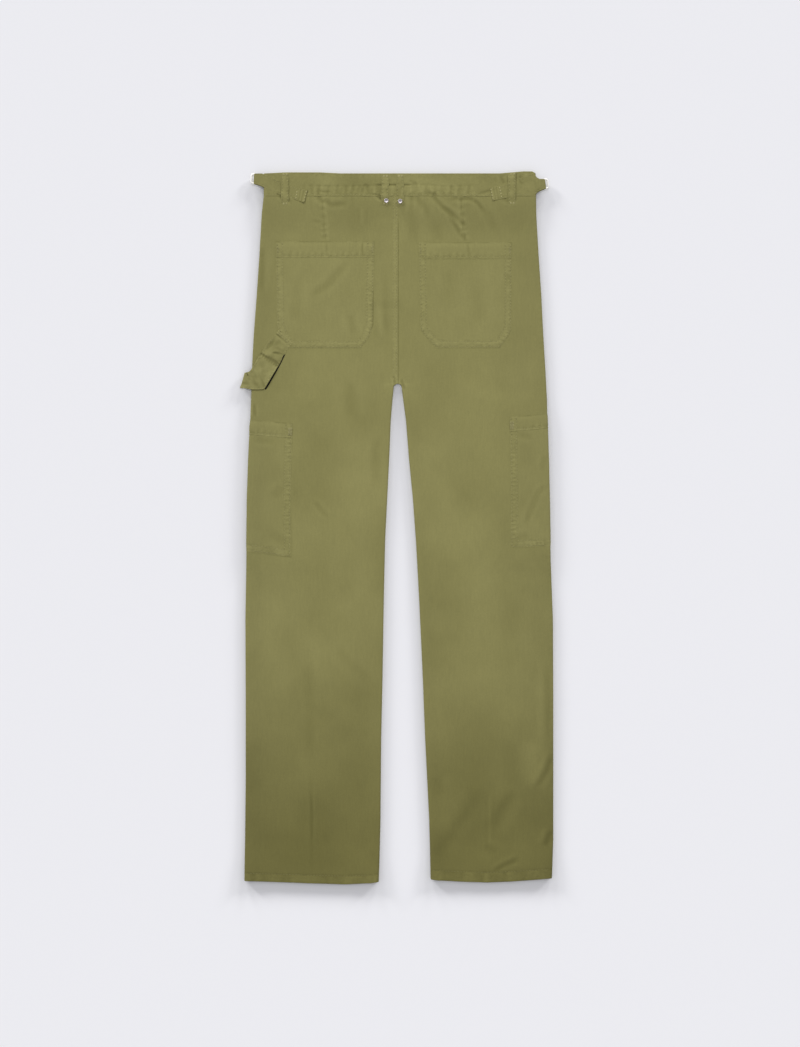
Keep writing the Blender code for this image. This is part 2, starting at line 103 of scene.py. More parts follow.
FLY_CLOTH = 0.85
LEG_TOP = 36.1  # where the legs' cloth begins, just below the waistband
PUCKER_PITCH = 12.4

# down; how far out the side edge is on the left and on the right
OUTSEAM = np.array([
    (0, 198.5, 208.5), (36, 199, 209), (63, 202, 209.5), (123, 205.5, 213),
    (183, 209.5, 217), (243, 214, 220), (300, 217, 223.5), (340, 218, 225.5),
    (370, 219, 226), (430, 222, 228), (490, 224, 229.5), (580, 225, 231),
    (670, 226.5, 234.5), (790, 226, 235), (910, 226, 235), (1000, 227, 235),
    (1060, 228, 233),
])
# down; how far out the inseam is. Above the crotch both are the centre seam
INSEAM = np.array([
    (0, -SEAM_X, SEAM_X), (316, -SEAM_X, SEAM_X), (317, 0.5, 4.5), (318, 2.2, 6),
    (320, 4, 7.5), (340, 6, 10), (370, 8.5, 14), (430, 11, 18.8), (490, 14, 24.6),
    (550, 17, 29), (640, 19, 34), (760, 21, 39.5), (850, 23, 43), (970, 24, 49),
    (1030, 25.5, 50.5), (1060, 26.5, 51),
])
# share of the leg's width from the inseam; how far the hem drops, left and right
HEM_DROP = np.array([
    (0, 2.4, -1.5), (0.06, 4.5, 0.3), (0.25, 6.3, 2.3), (0.47, 5, 3.5),
    (0.67, 3.5, 2), (0.88, 2, -0.8), (1, 1, -3),
])
# x; how far the waist edge rises above its middle height
WAIST_RISE = np.array([
    (-200, -1.5), (-185, -1), (-168, 0), (-115, 0), (-85, -1.5), (155, -1.5), (172, 0), (190, 1.5),
    (203, 1.5), (210, -2),
])
# down; how far the inner edge has turned under at the crotch, in degrees
CROTCH_TURN = np.array([(316, 0), (317, 30), (318, 60), (320, 90)])

# The large folds of the back: x and down at both ends, half width, height in the solids.
# Here they stand PRESSED times as high
PRESSED = 0.35
FOLDS = (
    (56, 36, 106, 104, 9, 1.7),
    (120, 40, 152, 92, 10, 0.9),
    (-128, 905, -127, 1056, 9, 1.1),
    (138, 905, 52, 1024, 13, 1.5),
    (176, 918, 138, 972, 12, 1.1),
    (228, 868, 204, 930, 11, 1.1),
    (229, 978, 212, 1024, 10, 0.9),
    (186, 1022, 138, 1050, 10, 0.9),
    (-32, 392, -31, 476, 11, 0.8),
    (-132, 486, -104, 524, 12, 0.8),
)

# Creases of the back panels: (x, down) along each, width, height; a trough is negative.
# They stand CREASE_DEPTH times as high
CREASE_DEPTH = 0.5
CREASES = (
    (((46, 25), (68, 51), (83, 61.5), (110, 86)), 3.0, -1.15),
    (((68, 51), (88, 67)), 4.2, -0.6),
    (((72, 53), (88, 78), (101, 99), (110, 113), (124, 136)), 3.2, -1.0),
    (((12, 36), (32, 40), (44, 53), (49, 70)), 4.2, -0.55),
    (((74, 43), (85, 40), (101, 39), (112, 40), (122, 46), (134, 64)), 2.6, -1.1),
    (((-180, 34), (-164.5, 40), (-155, 46)), 2.4, -1.0),
    (((-51, 50), (-52, 82)), 3.0, 0.4),
    (((-128, 71), (-118, 74), (-109, 73)), 2.2, -0.5),
    (((-27, 36.5), (-21, 42.5)), 1.8, -1.4),
    (((122, 43), (140, 66), (152, 92)), 5.0, -0.35),
    (((157, 38), (169, 44), (182, 39)), 2.6, -0.9),
    (((-128, 30), (-112, 41), (-96, 49), (-70, 46)), 3.6, -0.85),
    (((-34, 30), (-21, 42)), 2.5, -1.0),
    (((-128, 925), (-127, 960), (-127, 1006)), 2.0, -0.6),
    (((-129, 880), (-128, 960), (-127, 1052)), 3.0, -0.3),
    (((-134, 700), (-130, 800), (-130, 905)), 6.0, -0.2),
    (((131, 912), (104, 955), (63, 1016), (52, 1036)), 9.0, -0.42),
    (((58, 902), (64, 938)), 9.0, -0.4),
    (((140, 925), (140, 1018)), 2.5, 0.4),
    (((178, 922), (160, 948), (140, 989)), 9.0, -0.6),
    (((205, 845), (206, 928)), 16.0, 0.9),
    (((234, 868), (224, 897), (207, 926)), 4.6, -1.1),
    (((233, 984), (221, 1012)), 5.0, -1.2),
    (((186, 1026), (160, 1036), (142, 1046)), 3.6, -1.1),
    (((130, 1006), (152, 1019)), 6.0, -0.5),
    (((226, 730), (228, 870)), 6.0, -0.8),
    (((-29, 392), (-31, 430), (-30, 474)), 6.5, -0.4),
    (((-69, 310), (-69, 372)), 9.0, -0.5),
    (((-125, 491), (-113, 505), (-101, 519)), 3.6, -0.45),
    (((-213, 344), (-212, 368)), 2.4, -1.3),
    (((-92, 712), (-66, 738), (-36, 762)), 6.0, -0.2),
    (((-30, 190), (-21, 252)), 5.0, 0.5),
    (((-17, 140), (-15, 250)), 4.0, -0.3),
    (((-200, 105), (-203, 185)), 4.5, -0.8),
    (((-5, 303), (-3, 310), (-2, 319)), 1.8, -1.3),
    (((7, 308), (9, 316), (13, 326)), 1.8, -1.3),
    (((60, 70), (66, 130)), 9.0, -0.4),
    (((20, 50), (28, 110)), 8.0, -0.4),
    (((-60, 50), (-64, 100)), 8.0, -0.15),
    (((40, 420), (90, 470), (120, 540)), 14.0, -0.2),
    (((-180, 640), (-150, 720), (-140, 800)), 16.0, -0.2),
    (((70, 620), (110, 720)), 16.0, -0.2),
    (((180, 620), (160, 760)), 14.0, -0.2),
    (((-60, 560), (-90, 660)), 15.0, -0.2),
)
DARTS = (((-111, 44), (-108, 84), (-105, 126)), ((96.5, 40), (99, 74), (104, 110)))


def read(table, at, side=LEFT):
    """The value of a table at each place, straight between its rows."""
    return np.interp(at, table[:, 0], table[:, 1 if side == LEFT else 2])


def smooth(share):
    """0 up to 0 and 1 from 1, with a soft rise between."""
    share = np.clip(share, 0.0, 1.0)
    return share * share * (3 - 2 * share)


def fade(distance, reach):
    """1 where distance is 0 or less, falling softly to 0 at reach."""
    return smooth(1 - distance / reach)


def hump(distance, width):
    """1 where distance is 0, falling to almost 0 at two widths on either side."""
    return np.exp(-(distance / width) ** 2)


def groove(distance, depth, width):
    """A dent along a line, as deep as depth where distance is 0."""
    return -depth * hump(distance, width)


def rounded(from_edge, radius):
    """Height of a rounded edge at a distance inside it, as a share of its full height."""
    return np.sqrt(1 - (1 - np.clip(from_edge / radius, 0, 1)) ** 2)


def walk(points):
    """How far along a line of points each of them is."""
    steps = np.linalg.norm(np.diff(points, axis=0), axis=1)
    return np.concatenate([[0], np.cumsum(steps)])


def along_line(at, walked, values):
    """Rows of values, read between their places along a line."""
    return np.stack([np.interp(at, walked, column) for column in np.transpose(values)], -1)


def wander(x, y, size, seed):
    """Smooth uneven values from -1 to 1, a bump about every size millimetres."""
    gx, gy = np.asarray(x) / size, np.asarray(y) / size
    x0, y0 = np.floor(gx), np.floor(gy)

    def corner(i, j):
        value = np.sin((x0 + i) * 127.1 + (y0 + j) * 311.7 + seed * 74.7) * 43758.5453
        return 2 * (value - np.floor(value)) - 1

    fx, fy = smooth(gx - x0), smooth(gy - y0)
    low = corner(0, 0) * (1 - fx) + corner(1, 0) * fx
    high = corner(0, 1) * (1 - fx) + corner(1, 1) * fx
    return low * (1 - fy) + high * fy


def from_line(points, x, down):
    """Distance from a bent line, the share of the way along it, and the side it is on."""
    points = np.array(points, float)
    steps = np.hypot(*np.diff(points, axis=0).T)
    best = np.full(np.shape(x), 1e9)
    share, turn = np.zeros(np.shape(x)), np.zeros(np.shape(x))
    walked = 0.0
    for (x0, y0), (x1, y1), step in zip(points[:-1], points[1:], steps):
        along = ((x - x0) * (x1 - x0) + (down - y0) * (y1 - y0)) / step
        held = np.clip(along, 0, step)
        near_x, near_y = x0 + (x1 - x0) * held / step, y0 + (y1 - y0) * held / step
        away = np.hypot(x - near_x, down - near_y)
        nearer = away < best
        best = np.where(nearer, away, best)
        share = np.where(nearer, (walked + held) / steps.sum(), share)
        cross = (x1 - x0) * (down - y0) - (y1 - y0) * (x - x0)
        turn = np.where(nearer, np.sign(cross), turn)
        walked += step
    return best, share, turn


def outseam(side, down):
    """How far out the leg's side edge is."""
    return read(OUTSEAM, down, side)


def inseam(side, down):
    """How far out the leg's inner edge is, which is the centre seam above the crotch."""
    return read(INSEAM, down, side)


def cargo_reach(side, down):
    """How far the cargo pocket comes round over the back."""
    return np.interp(down, (CARGO_TOP, CARGO_BOTTOM), CARGO_REACH[side])


def floor_lift(side, out, down):
    """Height of the front layer's underside above the floor."""
    waist = WAIST_LIFT * fade(down - BAND_HEIGHT, WAIST_EASE)
    past_pocket = np.maximum.reduce([
        outseam(side, down) - CARGO_FRONT_REACH - out, CARGO_TOP - down,
        down - CARGO_BOTTOM])
    pocket = CARGO_LIFT * fade(past_pocket, 40.0)
    from_seam = np.abs(out - side * SEAM_X)
    past_fly = np.maximum(from_seam - (FLY_WIDTH if side == LEFT else 0), down - FLY_END)
    fly = FLY_LIFT * fade(past_fly, 16.0 if side == LEFT else 20.0)
    return np.maximum.reduce([waist, pocket, fly])


def fold_height(x, down):
    """What the large folds add to the back's height, once pressed flat by hand."""
    total = np.zeros(np.shape(x))
    for x0, down0, x1, down1, half_width, height in FOLDS:
        run_x, run_down = x1 - x0, down1 - down0
        length = math.hypot(run_x, run_down)
        along = ((x - x0) * run_x + (down - down0) * run_down) / length
        across = np.abs((x - x0) * run_down - (down - down0) * run_x) / length
        there = (along > 0) & (along < length) & (across < half_width)
        rise = np.sin(np.pi * along / length) * np.cos(np.pi / 2 * across / half_width) ** 2
        total += np.where(there, PRESSED * height * rise, 0.0)
    return total


def base_top(side, out, down):
    """Height of the back before its creases and seams, with only its large folds."""
    from_side = outseam(side, down) - out
    from_inseam = out - inseam(side, down)
    below_crotch = 1 - fade(down - 296, 44.0)
    puff = SIDE_PUFF * np.maximum(fade(from_side - EDGE_TURN, 24.0),
                                  below_crotch * fade(from_inseam - EDGE_TURN, 20.0))
    waist = WAIST_PUFF * fade(down - BAND_HEIGHT, WAIST_EASE)
    hem = HEM_PUFF * fade(LENGTH - HEM_HEIGHT - down, 50.0)
    ease = np.maximum(puff, waist) + hem
    return floor_lift(side, out, down) + LAYERS + ease + fold_height(side * out, down)


def beads(along, across, pitch, seed):
    """The uneven small puckers along a sewn line: slanted, about one for each pitch."""
    slant = along + 0.22 * across
    shift = 2.2 * wander(along, across * 0, 19.0, seed)
    size = 0.65 + 0.5 * wander(along, across * 0, 31.0, seed + 5)
    return size * np.sin(2 * np.pi * (slant + shift) / pitch)


def to_world(x, down, z):
    """Garment places as points in metres: hems drop and the waist edge rises a little."""
    x, down, z = np.broadcast_arrays(*(np.asarray(v, float) for v in (x, down, z)))
    left = x < SEAM_X
    drop = np.zeros(x.shape)
    for side, there in ((LEFT, left), (RIGHT, ~left)):
        low, high = inseam(side, down), outseam(side, down)
        share = (side * x - low) / (high - low)
        near_hem = np.clip((down - 960) / (LENGTH - 960), 0, 1)
        drop = np.where(there, read(HEM_DROP, share, side) * near_hem, drop)
    rise = read(WAIST_RISE, x) * np.clip(1 - down / BAND_HEIGHT, 0, 1)
    return np.stack([x, WAIST_Y - down - drop + rise, z], axis=-1) * MM


# down; the back pocket's edges nearest and furthest from the centre seam
BACK_POCKETS = {
    LEFT: np.array([(102.5, 33, 181), (127, 33, 181), (180, 34, 180), (228, 34.5, 179.5),
                    (245, 40, 174), (263.5, 53, 162)]),
    RIGHT: np.array([(104, 33, 173), (129, 33, 173), (180, 34, 173), (235, 35.5, 173),
                     (249, 46, 165), (263, 60, 155)]),
}
# The cargo pocket's top and bottom, each at the side edge and at its inner edge
CARGO_EDGES = {
    LEFT: ((370.5, 375.5), (567.5, 576.0)),
    RIGHT: ((361.0, 366.0), (559.5, 562.5)),
}
CARGO_BAND = 22.0
ROW_NEAR, ROW_FAR = 2.2, 10.0  # the twin stitched rows' distances from a sewn edge
SEAM_ROWS = (2.0, 6.8)  # the centre seam's rows, to the left of the seam
HEM_LINE = {LEFT: 1048.5, RIGHT: 1045.5}
PATCH_CLOTH = 0.4
BAND_FOLD = 0.35  # how much more the folded band of a pocket stands up
POCKET_GAP, CARGO_GAP = 0.05, 0.1  # between the leg and the pocket's cloth

# Creases of the pockets, as in CREASES
POCKET_CREASES = {
    LEFT: (
        (((-70, 130), (-102, 167), (-135, 190)), 5.5, -0.28),
        (((-51, 103), (-51.5, 126)), 1.6, -0.5),
        (((-70, 210), (-64, 245)), 6.0, -0.25),
        (((-150, 150), (-152, 230)), 8.0, -0.15),
        (((-105, 103), (-104, 128)), 1.8, -0.35),
    ),
    RIGHT: (
        (((168, 150), (165, 172)), 5.0, -0.3),
        (((80, 145), (78, 190)), 9.0, -0.15),
        (((107, 104), (108, 128)), 2.2, -0.3),
        (((120, 160), (128, 230)), 10.0, -0.15),
    ),
}
CARGO_CREASES = {
    LEFT: (
        (((-170, 470), (-185, 488)), 6.0, -0.25),
        (((-160, 560), (-190, 540)), 6.0, -0.2),
        (((-215, 400), (-180, 404)), 4.0, -0.25),
    ),
    RIGHT: (
        (((227, 465), (212, 480), (198.5, 512), (192, 532)), 3.6, -0.4),
        (((223, 422), (219, 448)), 4.0, -0.3),
        (((180, 392), (205, 398)), 4.0, -0.25),
        (((176, 548), (200, 544)), 5.0, -0.25),
    ),
}


def pocket_span(side, down):
    """The back pocket's edges nearest and furthest from the centre seam."""
    table = BACK_POCKETS[side]
    return (np.interp(down, table[:, 0], table[:, 1]),
            np.interp(down, table[:, 0], table[:, 2]))


def pocket_sewn_edge(side):
    """The back pocket's sewn sides and bottom, as (x, down) from the centre round."""
    table = BACK_POCKETS[side]
    near = [(side * row[1], row[0]) for row in table]
    far = [(side * row[2], row[0]) for row in table[::-1]]
    return near + far


def cargo_top_edge(side, out, down):
    """How far a place is below the cargo pocket's top and above its bottom."""
    (top, top_in), (bottom, bottom_in) = CARGO_EDGES[side]
    share = np.clip((outseam(side, down) - out) / cargo_reach(side, down), 0, 1)
    return (down - (top + (top_in - top) * share),
            bottom + (bottom_in - bottom) * share - down)


def covered(side, out, down):
    """1 where a pocket is sewn over the leg, falling softly to 0 a little outside it."""
    near, far = pocket_span(side, down)
    top, bottom = BACK_POCKETS[side][[0, -1], 0]
    outside = np.maximum.reduce([near - out, out - far, top - down, down - bottom])
    below, above = cargo_top_edge(side, out, down)
    past = np.maximum.reduce([
        outseam(side, down) - cargo_reach(side, down) - out, -below, -above])
    return np.maximum(fade(outside, 5.0), fade(past, 5.0))


def twin_rows(away):
    """The dents of the twin stitched rows, away millimetres inside a sewn edge."""
    return groove(away - ROW_NEAR, 0.22, 0.8) + groove(away - ROW_FAR, 0.25, 0.9)


def crease_relief(creases, x, down, shoulder=0.0, reach=math.inf):
    """What a table of creases adds to a height, each fading out at both its ends.

    shoulder is how much of its height the cloth beside a crease gives back, and reach is
    where a crease stops, in widths.
    """
    total = np.zeros(np.shape(x))
    for points, width, height in creases:
        away, share, _ = from_line(points, x, down)
        ends = smooth(share * 4) * smooth((1 - share) * 4)
        rise = hump(away, width) - shoulder * hump(away - 1.9 * width, 0.9 * width)
        total += np.where(away < reach * width, height * rise * ends, 0.0)
    return total


def above_crotch(down):
    """1 down to a little above the crotch, and 0 from the crotch on."""
    return fade(down - 310, 10.0)


def gathered(x, down, reach):
    """1 where the waistband gathers the back, falling to 0 beside that and over reach."""
    return fade(-138 - x, 14.0) * fade(x - 112, 14.0) * fade(down - 38, reach)


def seam_relief(side, x, down):
    """The centre seam: a raised and sewn fold on the left, and a dent on the right."""
    past_seam = side * (x - SEAM_X)
    if side == RIGHT:
        return groove(past_seam, 0.45, 1.6) * above_crotch(down) * smooth((down - 62) / 22)
    raised = 0.3 * smooth((8.6 - past_seam) / 1.6) * smooth(past_seam / 0.5 + 0.4)
    near, far = SEAM_ROWS
    rows = groove(past_seam - near, 0.25, 0.8) + groove(past_seam - far, 0.3, 0.9)
    bead = 0.13 * beads(down, x, 4.8, 3) * fade(np.abs(past_seam - 4.5) - 2.5, 2.0)
    return (raised + rows + bead) * above_crotch(down)


def dart_relief(x, down):
    """The two darts: a sewn line each, and the cloth pressed over on its inner side."""
    total = np.zeros(np.shape(x))
    for points in DARTS:
        away, share, turn = from_line(points, x, down)
        inner = np.where(turn * np.sign(points[0][0]) > 0, 1.0, 0.25)
        total += smooth((1 - share) * 5) * (
            groove(away, 0.34, 1.3) + 0.28 * inner * hump(away - 4, 3.0)
            + 0.26 * beads(down, x, 11.0, 8) * fade(away - 3, 4.0))
    return total


def hem_relief(side, x, down):
    """The hem: its sewn row, and the doubled cloth below that."""
    past_row = down - HEM_LINE[side]
    in_hem = smooth(past_row / 1.5)
    uneven = 0.1 * beads(x, down, 11.0, 20 + side) + 0.3 * wander(x, 0 * x, 9.0, 22 + side)
    return groove(past_row, 0.22, 1.5) + in_hem * (0.12 + uneven)


def leg_relief(side, x, down):
    """Seams, darts, creases, gathers and unevenness of the back of one leg."""
    total = seam_relief(side, x, down) + dart_relief(x, down) + hem_relief(side, x, down)
    total += CREASE_DEPTH * crease_relief(CREASES, x, down, 0.45, 3)
    shift = 2.5 * wander(x, down * 0, 23.0, 12)
    depth = 0.16 * (0.6 + wander(x, 0 * x, 17.0, 14))
    total += gathered(x, down, 36.0) * depth * np.sin(2 * np.pi * (x + shift) / PUCKER_PITCH)
    from_side = outseam(side, down) - side * x
    total += 0.12 * beads(down, x, 9.0, 31) * fade(from_side - 2, 6.0)
    slack = 0.55 + 0.45 * smooth((down - 300) / 150)
    total += slack * (0.25 * wander(x, down, 60.0, 1) + 0.09 * wander(x, down, 27.0, 2))
    total += 0.035 * wander(x, down, 12.0, 4)
    return total * (1 - covered(side, side * x, down))


def leg_sewn(side, x, down):
    """1 on the sewn lines of the back of one leg, falling to 0 a little away from them."""
    middle, half = (4.4, 2.5) if side == LEFT else (0.0, 0.5)
    total = fade(np.abs(side * (x - SEAM_X) - middle) - half, 2.5) * fade(down - 312, 6.0)
    for points in DARTS:
        away, share, _ = from_line(points, x, down)
        total = np.maximum(total, 0.7 * fade(away - 1.0, 5.0) * smooth((1 - share) * 5))
    hem = down - HEM_LINE[side]
    total = np.maximum(total, fade(-hem - 0.5, 2.5) * 0.9)
    total = np.maximum(total, 0.6 * gathered(x, down, 9.0))
    from_side = outseam(side, down) - side * x
    total = np.maximum(total, 0.3 * fade(from_side - 1.5, 5.0))
    return total * (1 - covered(side, side * x, down))


def back_surface(x, down):
    """Height of the back of the legs, with all its relief."""
    x, down = np.broadcast_arrays(np.asarray(x, float), np.asarray(down, float))
    height = np.zeros(x.shape)
    for side, there in ((LEFT, x < SEAM_X), (RIGHT, x >= SEAM_X)):
        flat = base_top(side, side * x, down) + leg_relief(side, x, down)
        lowest = floor_lift(side, side * x, down) + 2 * CLOTH_MM + 0.1
        height = np.where(there, np.maximum(flat, lowest), height)
    return height


def front_surface(x, down):
    """Height of the underside of the legs."""
    x, down = np.broadcast_arrays(np.asarray(x, float), np.asarray(down, float))
    height = np.zeros(x.shape)
    for side, there in ((LEFT, x < SEAM_X), (RIGHT, x >= SEAM_X)):
        flat = floor_lift(side, side * x, down)
        dip = 0.3 * hump(down - HEM_LINE[side], 1.3)
        dip += 0.25 * hump(x - SEAM_X, 1.4) * above_crotch(down)
        dip += 0.12 + 0.12 * wander(x, down, 40.0, 6)
        height = np.where(there, flat + dip, height)
    return height


def pocket_relief(side, x, down):
    """The back pocket's own height over the leg: its cloth, band, stitching and creases."""
    band_end = BACK_POCKETS[side][1, 0]
    away, share, _ = from_line(pocket_sewn_edge(side), x, down)
    walked = 420 * share  # the sewn edge is about 420 long
    past_band = down - band_end
    band = fade(past_band + 0.4, 1.0)
    sewn = twin_rows(away)
    sewn += 0.34 * beads(walked, away, 6.2, 40 + side) * fade(np.abs(away - 3.6) - 1.4, 2.0)
    sewn += 0.1 * wander(x, down, 4.5, 47) * fade(np.abs(away - 6) - 4, 3.0)
    raised = 0.13 * fade(np.abs(away - 6.2) - 2.5, 3.0)
    in_band = groove(past_band + 3.0, 0.3, 0.9)
    in_band += 0.15 * beads(x, down, 10.0, 44 + side) * fade(np.abs(past_band + 4) - 2, 6.0)
    total = PATCH_CLOTH + BAND_FOLD * band + sewn * (1 - 0.5 * band) + raised * (1 - band)
    total += in_band
    total += crease_relief(POCKET_CREASES[side], x, down, 0.4)
    total += 0.14 * wander(x, down, 45.0, 50) + 0.06 * wander(x, down, 19.0, 51)
    return np.maximum(total, 0.2)


def pocket_sewn(side, x, down):
    """1 on the sewn lines of a back pocket, falling to 0 away from them."""
    away, _, _ = from_line(pocket_sewn_edge(side), x, down)
    top, band_end = BACK_POCKETS[side][:2, 0]
    return np.maximum.reduce([
        fade(np.abs(away - 5.5) - 5.0, 3.5), 0.9 * fade(np.abs(down - band_end + 2) - 2, 4.0),
        0.7 * fade(down - top - 1.0, 4.0)])


def pocket_surface(side):
    """A function for the height of a back pocket's face."""
    def height(x, down):
        return base_top(side, side * x, down) + POCKET_GAP + pocket_relief(side, x, down)
    return height


def cargo_relief(side, x, down):
    """The cargo pocket's own height over the leg."""
    out = side * x
    from_inner = cargo_reach(side, down) - (outseam(side, down) - out)
    below, above = cargo_top_edge(side, out, down)
    band = fade(below - CARGO_BAND + 0.5, 1.0)
    total = PATCH_CLOTH + BAND_FOLD * band
    for away, along in ((from_inner, down), (above, x)):
        puckers = 0.4 * beads(along, away, 6.4, 60 + side) * fade(np.abs(away - 4) - 2, 2.5)
        total += (twin_rows(away) + puckers) * (1 - 0.5 * band)
    total += groove(below - CARGO_BAND + 3, 0.3, 0.9)
    total += 0.2 * beads(x, down, 10.0, 66) * fade(np.abs(below - CARGO_BAND + 4) - 2, 6.0)
    total += crease_relief(CARGO_CREASES[side], x, down, 0.4)
    total += 0.12 * wander(x, down, 38.0, 70) + 0.05 * wander(x, down, 16.0, 71)
    return np.maximum(total, 0.2)


def cargo_sewn(side, x, down):
    """1 on the sewn lines of a cargo pocket, falling to 0 away from them."""
    from_inner = cargo_reach(side, down) - (outseam(side, down) - side * x)
    below, above = cargo_top_edge(side, side * x, down)
    return np.maximum.reduce([
        fade(np.abs(from_inner - 5.5) - 5.0, 3.5), fade(np.abs(above - 5.5) - 5.0, 3.5),
        0.9 * fade(np.abs(below - CARGO_BAND + 2) - 2, 4.0), 0.7 * fade(below - 1.0, 4.0)])


def cargo_surface(side):
    """A function for the height of a cargo pocket's face."""
    def height(x, down):
        return base_top(side, side * x, down) + CARGO_GAP + cargo_relief(side, x, down)
    return height


def linear(colour):
    """An sRGB hex colour as linear red, green, blue and alpha."""
    parts = [int(colour[i:i + 2], 16) / 255 for i in (1, 3, 5)]
    return tuple(c / 12.92 if c <= 0.04045 else ((c + 0.055) / 1.055) ** 2.4
                 for c in parts) + (1.0,)


def deselect():
    """Leaves nothing selected, so that an operator acts on the new piece alone."""
    for one in bpy.context.view_layer.objects:
        one.select_set(False)


def put_in_place(piece, material, nodes):
    """Gives a finished piece its material, its body and the solids it stands for."""
    piece.data.materials.clear()
    piece.data.materials.append(material)
    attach(piece, "root")
    if nodes:
        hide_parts(*nodes)
    return piece


def mesh_piece(name, points, faces, relief=None, sewn=None, sharp=50):
    """An object with the given points, in metres, and faces turned outwards."""
    mesh = bpy.data.meshes.new(name)
    mesh.from_pydata(points.reshape(-1, 3).tolist(), [], faces)
    work = bmesh.new()
    work.from_mesh(mesh)
    bmesh.ops.recalc_face_normals(work, faces=work.faces)
    work.to_mesh(mesh)
    work.free()
    # relief: how far each place stands proud of the cloth round it, for wear, wash and painted
    # shade
    # sewn: how near each place is to a sewn line, where the cloth has shrunk and puckered
    for label, values in (("relief", relief), ("sewn", sewn)):
        if values is not None:
            layer = mesh.attributes.new(label, "FLOAT", "POINT")
            layer.data.foreach_set("value", np.asarray(values, np.float32).ravel())
    mesh.shade_smooth()
    mesh.set_sharp_from_angle(angle=math.radians(sharp))
    piece = bpy.data.objects.new(name, mesh)
    bpy.context.scene.collection.objects.link(piece)
    return piece


def wall(name, outer, inner, relief, sewn):
    """A closed sheet between two equal grids of points, with its edges filled."""
    rows, columns = outer.shape[:2]
    index = np.arange(rows * columns).reshape(rows, columns)
    quads = np.stack([index[:-1, :-1], index[1:, :-1], index[1:, 1:], index[:-1, 1:]],
                     axis=-1).reshape(-1, 4)
    other = quads[:, ::-1] + rows * columns
    rim = np.concatenate([index[:-1, 0], index[-1, :-1], index[:0:-1, -1],
                          index[0, :0:-1]])
    after = np.roll(rim, -1)
    edge = np.stack([after, rim, rim + rows * columns, after + rows * columns], axis=-1)
    faces = np.concatenate([quads, other, edge]).tolist()
    points = np.concatenate([outer.reshape(-1, 3), inner.reshape(-1, 3)])
    return mesh_piece(name, points, faces, np.tile(np.ravel(relief), 2),
                      np.tile(np.ravel(sewn), 2))


def lie(height, path, spacing=0.6, under=False):
    """A line of garment places laid on a surface: points in metres, and normals."""
    path = np.array(path, float)
    walked = walk(path)
    at = np.linspace(0, walked[-1], int(walked[-1] / spacing) + 2)
    x, down = along_line(at, walked, path).T
    step = 0.5
    points = to_world(x, down, height(x, down))
    if under:
        # pressed into the cloth, so that the thread stays above the floor
        points[:, 2] = np.maximum(points[:, 2], 0.62 * MM)
    over = (to_world(x + step, down, height(x + step, down))
            - to_world(x - step, down, height(x - step, down)))
    along = (to_world(x, down + step, height(x, down + step))
             - to_world(x, down - step, height(x, down - step)))
    normals = np.cross(over, along) if under else np.cross(along, over)
    return points, normals / np.linalg.norm(normals, axis=1, keepdims=True)


# A stitch is three rings of four points. For each ring: its share of the stitch's length,
# its radius and the height of its middle above the cloth, both in radii of the thread
STITCH_RINGS = ((0, 0.5, -0.35), (0.5, 1.0, 0.45), (1, 0.5, -0.35))
STITCH_FACES = np.array(
    [(ring + k, ring + (k + 1) % 4, ring + 4 + (k + 1) % 4, ring + 4 + k)
     for ring in (0, 4) for k in range(4)] + [(3, 2, 1, 0), (8, 9, 10, 11)])


def stitches(name, runs, material):
    """Sewing thread along each run of points: low rounded stitches with gaps between."""
    look = bpy.context.scene.cargo_pants_cloth
    length, gap, radius = look.stitch, look.stitch_gap, look.thread / 2
    a_little = 0.3 * MM
    blocks, faces, count = [], [], 0
    for points, normals in runs:
        walked = walk(points)
        starts = np.arange(gap / 2, walked[-1] - length, length + gap)
        if not len(starts):
            continue
        rings = []
        for share, size, rise in STITCH_RINGS:
            at = starts + share * length
            up = along_line(at, walked, normals)
            ahead = (along_line(at + a_little, walked, points)
                     - along_line(at - a_little, walked, points))
            across = np.cross(ahead, up)
            across /= np.maximum(np.linalg.norm(across, axis=1, keepdims=True), 1e-12)
            middle = along_line(at, walked, points) + up * radius * rise
            rings.append(np.stack([middle + way * radius * size
                                   for way in (across, up, -across, -up)], axis=1))
        blocks.append(np.stack(rings, axis=1).reshape(-1, 3))
        first = count + 12 * np.arange(len(starts))[:, None]
        faces += [first + face for face in STITCH_FACES]
        count += 12 * len(starts)
    piece = mesh_piece(name, np.concatenate(blocks), np.concatenate(faces).tolist(), sharp=80)
    return put_in_place(piece, material, ())


def sew(node_name, slot, rows, tacks=()):
    """The thread of a piece: its sewn rows and, where it has any, its bartacks."""
    made = [stitches(node_name + "_sewing", rows, thread())]
    if tacks:
        made.append(stitches(node_name + "_bartack", tacks, tack_thread()))
    return made


def node(tree, kind, settings=(), **links):
    """Adds one shader node with its settings, and links or fills its sockets.

    A socket is given by its name, or by its number after an i. A node that is given as
    a value stands for its first output.
    """
    made = tree.nodes.new(kind)
    for key, value in dict(settings).items():
        setattr(made, key, value)
    for key, value in links.items():
        numbered = key[0] == "i" and key[1:].isdigit()
        socket = made.inputs[int(key[1:]) if numbered else key.replace("_", " ")]
        if isinstance(value, bpy.types.Node):
            value = value.outputs[0]
        if isinstance(value, bpy.types.NodeSocket):
            tree.links.new(value, socket)
        else:
            socket.default_value = value
    return made


COLOURS = {"data_type": "RGBA"}
MULTIPLY = {"operation": "MULTIPLY"}


def made_once(name, shader_for, *settings):
    """The material of that name, made the first time it is asked for."""
    material = bpy.data.materials.get(name)
    if material is None:
        material = bpy.data.materials.new(name)
        material.use_nodes = True
        tree = material.node_tree
        tree.nodes.clear()
        node(tree, "ShaderNodeOutputMaterial", Surface=shader_for(tree, *settings))
    return material


